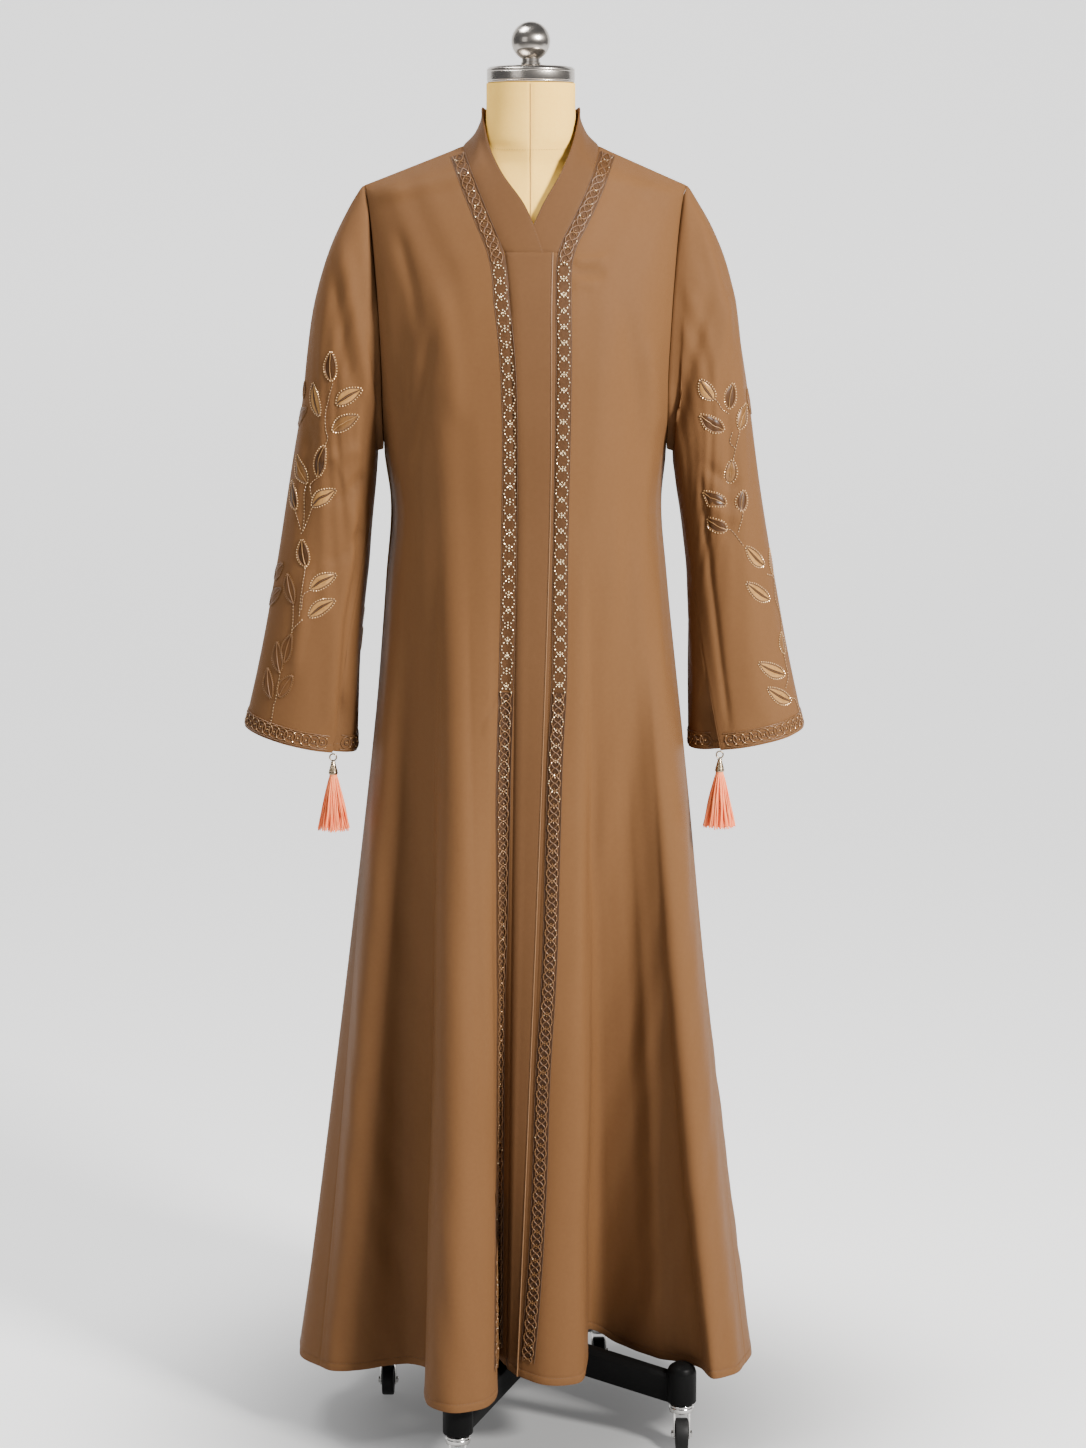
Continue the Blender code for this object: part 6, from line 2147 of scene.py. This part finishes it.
LEFT_STEMS = (
    ((0.274, 0.737), (0.319, 0.720), (0.357, 0.696)),
    ((0.394, 0.698), (0.397, 0.714), (0.419, 0.703)),
    ((0.416, 0.672), (0.422, 0.692), (0.431, 0.714)),
    ((0.530, 0.726), (0.547, 0.754)),
    ((0.509, 0.800), (0.527, 0.779), (0.578, 0.750)),
    ((0.676, 0.666), (0.696, 0.626), (0.722, 0.649), (0.753, 0.631), (0.782, 0.655)),
    ((0.808, 0.672), (0.844, 0.679), (0.859, 0.709)),
    ((0.879, 0.697), (0.891, 0.666), (0.930, 0.660)),
)


@dataclass(frozen=True)
class LeafStyle:
    """Fill, rim and vein of one kind of leaf."""

    fill: Finish
    rim: Finish
    vein: Finish
    bead_pitch: float
    bright_beads: bool


LEAF_STYLES = {
    Kind.BRIGHT: LeafStyle(LEAF_BRIGHT, SEAM_THREAD, SEAM_THREAD, 0.0032, True),
    Kind.BROWN: LeafStyle(LEAF_BRONZE, SEAM_THREAD, GOLD_THREAD, 0.0032, True),
    Kind.DARK: LeafStyle(LEAF_DARK, BROWN_THREAD, GOLD_THREAD, 0.0032, True),
    Kind.DULL: LeafStyle(LEAF_PLAIN, BROWN_THREAD, BROWN_THREAD, 0.0026, False),
}


@dataclass
class SleeveVine:
    """Leaves, stems and the border of circles worked on one sleeve, front and back alike."""

    side: str
    panel: Panel
    leaves: Sequence[Leaf]
    stems: Sequence[Sequence[tuple[float, float]]]
    leaf_width: float = 0.0142
    widest_share: float = 0.52
    belly: float = 0.86
    fullness: float = 0.80
    bend_share: float = 0.05
    rows: int = 13
    columns: int = 8
    dome: float = 0.0009
    groove: float = 0.0005
    rim_radius: float = 0.00065
    circle_radius: float = 0.0072
    circle_pitch: float = 0.0098
    circle_height: float = 0.0115
    seam_margin: float = 0.016
    inner_share: float = 0.45
    inner_lift: float = 0.0004
    line_overrun: float = 0.008
    line_heights: tuple[float, float] = (0.0030, 0.0200)
    rim_lift: float = 0.0006
    vein_lift: float = 0.0009
    slit_share: float = 0.22
    slit_rise: float = 0.0011
    least_rise: float = 0.00025
    beads_aside: float = 0.0015
    stem_lift: float = 0.0002
    stem_pitch: float = 0.0039
    stem_bead_lift: float = 0.0008
    stem_bead_size: float = 0.72
    crossing_lift: float = 0.0010
    crossing_size: float = 0.85
    threads: dict[str, Threads] = field(default_factory=dict)
    fills: dict[str, list[bpy.types.Mesh]] = field(default_factory=dict)
    bright: Strewn = field(default_factory=Strewn)
    dull: Strewn = field(default_factory=Strewn)

    def __post_init__(self) -> None:
        """Take the sleeve's outer face."""
        self.tree = self.panel.tree()

    def settle(self, points: Array, facing: Array) -> tuple[Array, Array]:
        """The nearest places on the sleeve, with normals on the side that faces out."""
        where, normals = [], []
        for point, toward in zip(points, facing):
            place, normal, _, _ = self.tree.find_nearest(Vector((point + AXIS).tolist()))
            normal = np.array(normal)
            where.append(np.array(place) - AXIS)
            normals.append(normal if normal @ toward > 0 else -normal)
        return np.array(where), np.array(normals)

    def thread(self, finish: Finish) -> Threads:
        """The lines that wait for one finish."""
        return self.threads.setdefault(finish.name, Threads())

    def leaf(self, leaf: Leaf, mirrored: bool) -> None:
        """One leaf: a domed fill with its vein sunk in, a thread rim and a line of beads round it."""
        style = LEAF_STYLES[leaf.kind]
        around = [leaf.tip_around, leaf.base_around]
        if mirrored:
            around = [1.0 - a for a in around]
        ends, normals = self.panel.share_at([leaf.tip_down, leaf.base_down], around)
        tip, base = ends
        facing = unit(normals.mean(axis=0))
        run = tip - base
        long = float(np.linalg.norm(run))
        across = unit(np.cross(facing, run / long))
        half = min(self.leaf_width, long * self.widest_share) / 2
        level = np.linspace(0.0, 1.0, self.rows)
        spread = np.sin(math.pi * level**self.belly) ** self.fullness
        bend = self.bend_share * long * np.sin(math.pi * level)
        shares = np.linspace(-1.0, 1.0, self.columns + 1)
        flat = (
            base + run * level[:, None, None]
            + across * (spread[:, None] * half * shares + bend[:, None])[..., None]
        )
        count = flat.shape[0] * flat.shape[1]
        laid, out = self.settle(flat.reshape(-1, 3), np.tile(facing, (count, 1)))
        rise = self.dome * (1 - shares**2) ** 0.7 - self.groove * np.exp(-((shares / self.slit_share) ** 2))
        rise = self.least_rise + rise * np.clip(spread, 0, 1)[:, None]
        grid, turned = laid.reshape(flat.shape), out.reshape(flat.shape)
        self.fills.setdefault(style.fill.name, []).append(patch("leaf", grid, turned, rise))
        rim_line = np.vstack([grid[:, 0], grid[::-1, -1]])
        rim_turn = np.vstack([turned[:, 0], turned[::-1, -1]])
        self.thread(style.rim).add(rim_line, rim_turn, self.rim_lift)
        middle = self.columns // 2
        self.thread(style.vein).add(grid[:, middle], turned[:, middle], self.vein_lift)
        if leaf.kind is Kind.BRIGHT:
            slit = shares[None, :, None] * self.slit_share * half * spread[:, None, None] * across
            facing_up = turned[:, [middle] * len(shares)]
            dark = patch("slit", grid[:, [middle]] + slit, facing_up, np.full(rise.shape, self.slit_rise))
            self.fills.setdefault(LEAF_DARK.name, []).append(dark)
        for column, way in ((0, -1), (-1, 1)):
            line = grid[:, column] + across * way * self.beads_aside
            beads, away = evenly(line, turned[:, column], style.bead_pitch)
            keep = self.bright if style.bright_beads else self.dull
            keep.add(beads + away * self.rim_lift, away)

    def stem(self, line: Sequence[tuple[float, float]], mirrored: bool) -> None:
        """One stem: a thread with a row of small beads on it."""
        knots = np.array(line)
        if mirrored:
            knots = knots * np.array([1.0, -1.0]) + np.array([0.0, 1.0])
        at = np.linspace(0.0, len(knots) - 1.0, 8 * (len(knots) - 1) + 1)
        smooth = spline(knots, np.ones(len(knots) - 1), at)
        points, normals = self.panel.share_at(smooth[:, 0], smooth[:, 1])
        self.thread(SEAM_THREAD).add(points, normals, self.stem_lift)
        beads, away = evenly(points, normals, self.stem_pitch)
        self.bright.add(beads + away * self.stem_bead_lift, away, self.stem_bead_size)

    def border(self) -> None:
        """The band of interlaced circles above the hem, with a bead at each crossing."""
        total = float(self.panel.across[-1, -1])
        count = int((total - 2 * self.seam_margin) / self.circle_pitch)
        turns = np.linspace(0, 2 * math.pi, 19)
        for k in range(count + 1):
            middle = self.seam_margin + (total - 2 * self.seam_margin) * k / count
            around = middle + self.circle_radius * np.cos(turns)
            height = self.circle_height + self.circle_radius * np.sin(turns)
            points, normals = self.panel.above_foot(around, height)
            self.thread(BROWN_THREAD).add(points, normals, self.rim_lift)
            small = self.circle_radius * self.inner_share
            inner, turned = self.panel.above_foot(
                middle + small * np.cos(turns), self.circle_height + small * np.sin(turns)
            )
            self.thread(SEAM_THREAD).add(inner, turned, self.inner_lift)
            half = self.circle_pitch / 2
            rise = math.sqrt(self.circle_radius**2 - half**2)
            spots = np.array([middle + half, middle + half, middle])
            levels = np.array([self.circle_height + rise, self.circle_height - rise, self.circle_height])
            points, normals = self.panel.above_foot(spots, levels)
            runs = np.tile([1.0, 0.0, 0.0], (3, 1))
            self.bright.add(points + normals * self.crossing_lift, normals, self.crossing_size, runs)
        margin = self.seam_margin - self.line_overrun
        around = np.linspace(margin, total - self.seam_margin + self.line_overrun, 130)
        for height in self.line_heights:
            points, normals = self.panel.above_foot(around, np.full(len(around), height))
            self.thread(BROWN_THREAD).add(points, normals, self.inner_lift)

    def build(self) -> None:
        """Work the whole sleeve."""
        for mirrored in (False, True):
            for leaf in self.leaves:
                self.leaf(leaf, mirrored)
            for line in self.stems:
                self.stem(line, mirrored)
        self.border()
        for finish in (LEAF_BRIGHT, LEAF_BRONZE, LEAF_DARK, LEAF_PLAIN):
            if finish.name in self.fills:
                name = f"{finish.name}_{self.side}"
                dress(joined(name, self.fills[finish.name], finish, 60))
        radii = ((GOLD_THREAD, 0.00050), (BROWN_THREAD, self.rim_radius), (SEAM_THREAD, 0.00045))
        for finish, radius in radii:
            name = f"{finish.name}_{self.side}"
            dress(self.threads[finish.name].lay(name, finish, radius))
        dress(self.bright.sew(f"leaf_beads_{self.side}", LEAF_BEAD, 0.0018, 0.0018, 0.0015))
        dress(self.dull.sew(f"leaf_dull_beads_{self.side}", BEAD_DULL, 0.0016, 0.0016, 0.0012))


LEFT_TRIM = (
    (0.0888, 1.5482), (0.0741, 1.5079), (0.0574, 1.4719), (0.0442, 1.4461), (0.0385, 1.4249), (0.0375, 1.3971),
    (0.0379, 1.3390), (0.0341, 1.0889), (0.0326, 0.9382), (0.0286, 0.8621), (0.0257, 0.7594), (0.0217, 0.6089),
    (0.0141, 0.4768), (0.0100, 0.3445), (-0.0002, 0.1735), (-0.0048, 0.1230),
)
RIGHT_TRIM = (
    (-0.0841, 1.5469), (-0.0699, 1.5101), (-0.0547, 1.4730), (-0.0404, 1.4383), (-0.0346, 1.4093),
    (-0.0329, 1.3837), (-0.0295, 1.3558), (-0.0248, 1.0889), (-0.0286, 0.9377), (-0.0318, 0.8350),
    (-0.0333, 0.7056), (-0.0355, 0.5507), (-0.0372, 0.3613), (-0.0391, 0.1298),
)


@dataclass
class BeadedTrim:
    """Two bead strings that cross down one side of the placket, bright above and worked in thread below; the
    bright beads are a painted highlight, a pale material on the beads picked to glint.
    """

    name: str
    path: Sequence[tuple[float, float]]
    panels: Sequence[Panel]
    diamond: bool
    pitch: float = 0.0178
    half_width: float = 0.0066
    edge: float = 0.0086
    bright_foot: float = 0.935
    bead_pitch: float = 0.0042
    least_width: float = 0.55
    # painted highlight: beads glint between bright_foot and glint_top, with fewer painted glints above and
    # below
    glint_top: float = 1.425
    glint_fade: float = 0.150
    few_glints: float = 0.03
    most_glints: float = 0.42
    high_glints: float = 0.12
    fullness: float = 0.6
    inner_share: float = 0.80
    step: float = 0.0009
    low_bead_pitch: float = 0.0030
    bright_lift: float = 0.0011
    dull_lift: float = 0.0009
    low_lift: float = 0.0014
    low_glint_size: float = 0.8
    edge_lift: float = 0.0003
    inner_lift: float = 0.0006
    row_spread: float = 0.0032
    diamond_spread: float = 0.0023
    crossing_lift: float = 0.0012
    crossing_size: float = 1.05
    crossing_margin: float = 0.004
    ground_step: float = 0.0035
    ground_columns: int = 9
    ground_rise: float = 0.00045
    ground_rim: float = 0.0001
    ground_margin: float = 0.002

    def __post_init__(self) -> None:
        """Take the cloth's outer faces and walk the path."""
        self.trees = [p.tree() for p in self.panels]
        self.rng = np.random.default_rng(len(self.path))
        self.bright, self.dull = Strewn(), Strewn()
        self.fine, self.raised = Threads(), Threads()
        knots = np.array(self.path)
        spans = np.linalg.norm(np.diff(knots, axis=0), axis=1)
        at = np.linspace(0.0, len(knots) - 1.0, 40 * len(knots))
        line = spline(knots, spans, at)
        self.walked = np.concatenate([[0.0], np.cumsum(np.linalg.norm(np.diff(line, axis=0), axis=1))])
        self.line = line
        self.side = unit(np.gradient(line, axis=0))[:, ::-1] * np.array([-1.0, 1.0])
        self.narrowing = np.ones(len(line))
        gaps = np.linspace(-self.edge, self.edge, self.ground_columns)
        laid = np.stack([self.lay(self.walked, np.full(len(line), gap))[0] for gap in gaps], 1)
        stretch = np.linalg.norm(np.diff(laid, axis=1), axis=2).sum(axis=1) / (2 * self.edge)
        kernel = np.hanning(25) / np.hanning(25).sum()
        smooth = np.convolve(np.pad(stretch, 12, mode="edge"), kernel, mode="valid")
        self.narrowing = np.clip(1.15 / smooth, self.least_width, 1.0)

    def lay(self, along: Array, aside: Array) -> tuple[Array, Array]:
        """Places on the cloth at distances along the path and to its side.

        Args:
            along: distances along the path.
            aside: distances to its side.

        Returns:
            The places and the cloth's normals there.
        """
        aside = aside * np.interp(along, self.walked, self.narrowing)
        x, z = (
            np.interp(along, self.walked, line) + aside * np.interp(along, self.walked, side)
            for line, side in zip(self.line.T, self.side.T)
        )
        points, normals = [], []
        for a, b in zip(x, z):
            best = None
            for tree in self.trees:
                hit = tree.ray_cast(Vector((a + AXIS[0], -1.0, b)), Vector((0.0, 1.0, 0.0)))
                if hit[0] is not None and (best is None or hit[0].y < best[0].y):
                    best = hit
            if best is None:
                y = points[-1][1] + AXIS[1] if points else -0.13
                near = [tree.find_nearest(Vector((a + AXIS[0], y, b))) for tree in self.trees]
                best = min(near, key=lambda found: found[3])
            normal = np.array(best[1])
            points.append(np.array(best[0]) - AXIS)
            normals.append(normal if normal[1] < 0 else -normal)
        return np.array(points), np.array(normals)

    def ground(self, part: str, start: float, end: float, finish: Finish) -> None:
        """A strip of close stitching under the beads, between two distances along the path."""
        along = np.arange(start, end, self.ground_step)
        aside = np.linspace(-self.edge, self.edge, self.ground_columns)
        laid = [self.lay(along, np.full(len(along), gap)) for gap in aside]
        grid = np.stack([points for points, _ in laid], 1)
        normals = np.stack([turned for _, turned in laid], 1)
        rise = np.full(grid.shape[:2], self.ground_rise)
        rise[:, [0, -1]] = self.ground_rim
        ob = joined(f"{self.name}_{part}", [patch(part, grid, normals, rise)], finish, 60)
        dress(ob)

    def swung(self, turn: Array, reach: float) -> Array:
        """Sideways swing of a string, fuller than a plain wave."""
        return reach * np.sign(turn) * np.abs(turn) ** self.fullness

    def string(self, points: Array, normals: Array) -> None:
        """One string: its thread, its beads above, of which those picked to glint carry a painted highlight,
        and its worked stretch below.

        Args:
            points: places along the string, on the cloth.
            normals: the cloth's normals there.
        """
        above = points[:, 2] > self.bright_foot
        glinting = above & (points[:, 2] < self.glint_top)
        stretches = (
            (glinting, self.fine, 0.0005), (~above, self.raised, 0.0007),
            (above & ~glinting, self.raised, self.inner_lift),
        )
        for part, threads, lift in stretches:
            threads.add(points[part][::2], normals[part][::2], lift)
        beads, away = evenly(points[above], normals[above], self.bead_pitch)
        # painted highlight: the beads picked here glint with the pale material, the rest keep the dull bead
        # colour
        glint = (beads[:, 2] < self.glint_top) | (self.rng.uniform(0.0, 1.0, len(beads)) < self.high_glints)
        sizes = self.rng.uniform(0.70, 1.10, len(beads))
        self.bright.add(beads[glint] + away[glint] * self.bright_lift, away[glint], sizes[glint])
        self.dull.add(beads[~glint] + away[~glint] * self.dull_lift, away[~glint], sizes[~glint])
        beads, away = evenly(points[~above], normals[~above], self.low_bead_pitch)
        sizes = self.rng.uniform(0.75, 1.10, len(beads))
        # painted highlight: fewer beads glint the further they lie below the bright zone
        fade = 1.0 - (self.bright_foot - beads[:, 2]) / self.glint_fade
        fade = np.clip(fade, self.few_glints, self.most_glints)
        glint = self.rng.uniform(0.0, 1.0, len(beads)) < fade
        beads = beads + away * self.low_lift
        self.bright.add(beads[glint], away[glint], sizes[glint] * self.low_glint_size)
        self.dull.add(beads[~glint], away[~glint], sizes[~glint])

    def crossings(self, total: float) -> None:
        """Beads where the strings cross, four in a diamond or three in a row."""
        shifts = [(0.0, 0.0), (-self.row_spread, 0.0), (self.row_spread, 0.0)]
        if self.diamond:
            far = self.diamond_spread
            shifts = [(-far, 0.0), (far, 0.0), (0.0, -far), (0.0, far)]
        for place in np.arange(self.pitch / 2, total - self.crossing_margin, self.pitch):
            along = np.array([place + s[0] for s in shifts])
            points, normals = self.lay(along, np.array([s[1] for s in shifts]))
            # painted highlight: crossings in the glinting zone get the pale glint material
            keep = self.bright if self.bright_foot < points[0][2] < self.glint_top else self.dull
            keep.add(points + normals * self.crossing_lift, normals, self.crossing_size)

    def build(self) -> None:
        """Work the trim: its ground, the two strings, the threads beside them and the crossings."""
        low = float(np.interp(-self.bright_foot, -self.line[:, 1], self.walked))
        total = float(self.walked[-1])
        self.ground("ground_above", 0.0, low, TRIM_GROUND)
        self.ground("ground_below", low, total - self.ground_margin, TRIM_DENSE)
        along = np.arange(0.0, total, self.step)
        swing = self.swung(np.cos(math.pi * along / self.pitch), self.half_width)
        between = self.swung(np.sin(math.pi * along / self.pitch), self.half_width * self.inner_share)
        for way in (1, -1):
            self.string(*self.lay(along, swing * way))
            beside = along[::6]
            self.fine.add(*self.lay(beside, np.full(len(beside), self.edge * way)), self.edge_lift)
            inner, turned = self.lay(along[::2], between[::2] * way)
            for part in (inner[:, 2] < self.bright_foot, inner[:, 2] > self.glint_top):
                self.raised.add(inner[part], turned[part], self.inner_lift)
        self.crossings(total)
        # painted highlight beads, then the beads in their own dull colour
        dress(self.bright.sew(f"{self.name}_beads", BEAD_PAINTED_GLINT, 0.0019, 0.0019, 0.0016))
        dress(self.dull.sew(f"{self.name}_dull_beads", BEAD_DULL, 0.0017, 0.0017, 0.0013))
        dress(self.fine.lay(f"{self.name}_threads", SEAM_THREAD, 0.00036))
        dress(self.raised.lay(f"{self.name}_work", WORK_THREAD, 0.00080))


@dataclass
class Topstitch:
    """Rows of stitches above the hem and beside the free edges."""

    cloak: Cloak
    length: float = 0.0026
    gap: float = 0.0011
    width: float = 0.00055
    # painted highlight thread along the plackets' free edges
    highlight_gap: float = 0.0009
    highlight_radius: float = 0.00075
    highlight_lift: float = 0.0003
    stitch_lift: float = 0.0001

    def row(self, strewn: Strewn, points: Array, normals: Array) -> None:
        """Stitches at an even pitch along a line."""
        place, away = evenly(points, normals, self.length + self.gap)
        strewn.add(place + away * self.stitch_lift, away)

    def build(self) -> None:
        """Sew every row."""
        strewn = Strewn()
        for name, panel in self.cloak.panels.items():
            if not panel.hem:
                continue
            around = np.linspace(0.0, float(panel.across[-1, -1]), 160)
            self.row(strewn, *panel.above_foot(around, np.full(len(around), panel.hem_width)))
        for name, gap in (("placket_over", 0.0022), ("neckband_right", 0.0020), ("neckband_left", 0.0020)):
            self.row(strewn, *self.cloak.panels[name].beside_last(gap))
        # Painted highlight: a lighter thread along each placket's free edge stands for the bright line of
        # light on the rolled edge; its relief is real.
        highlit_edge = Threads()
        for name in ("placket_over", "placket_under"):
            highlit_edge.add(*self.cloak.panels[name].beside_last(self.highlight_gap), self.highlight_lift)
        dress(highlit_edge.lay("placket_edge_painted_highlight", EDGE_HIGHLIGHT_THREAD, self.highlight_radius))
        dress(strewn.sew("topstitch", SEAM_THREAD, self.length, self.width, self.width))


def main() -> None:
    """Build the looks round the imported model."""
    logging.basicConfig(level=logging.INFO, format="%(message)s")
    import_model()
    cloak = Cloak()
    cloak.build()
    worked = (("right", RIGHT_LEAVES, RIGHT_STEMS), ("left", LEFT_LEAVES, LEFT_STEMS))
    for side, leaves, stems in worked:
        SleeveVine(side, cloak.panels["sleeve_" + side], leaves, stems).build()
    fronts = [panel for name, panel in cloak.panels.items() if "sleeve" not in name and name != "back"]
    BeadedTrim("trim_right", RIGHT_TRIM, fronts, diamond=False).build()
    BeadedTrim("trim_left", LEFT_TRIM, fronts, diamond=True).build()
    Topstitch(cloak).build()
    FormDress().build()
    Stand().build()
    for side in ("right", "left"):
        Tassel(side, cloak.coarse["sleeve_" + side][-1][-1]).build()
    Studio().build()


if __name__ == "__main__":
    main()
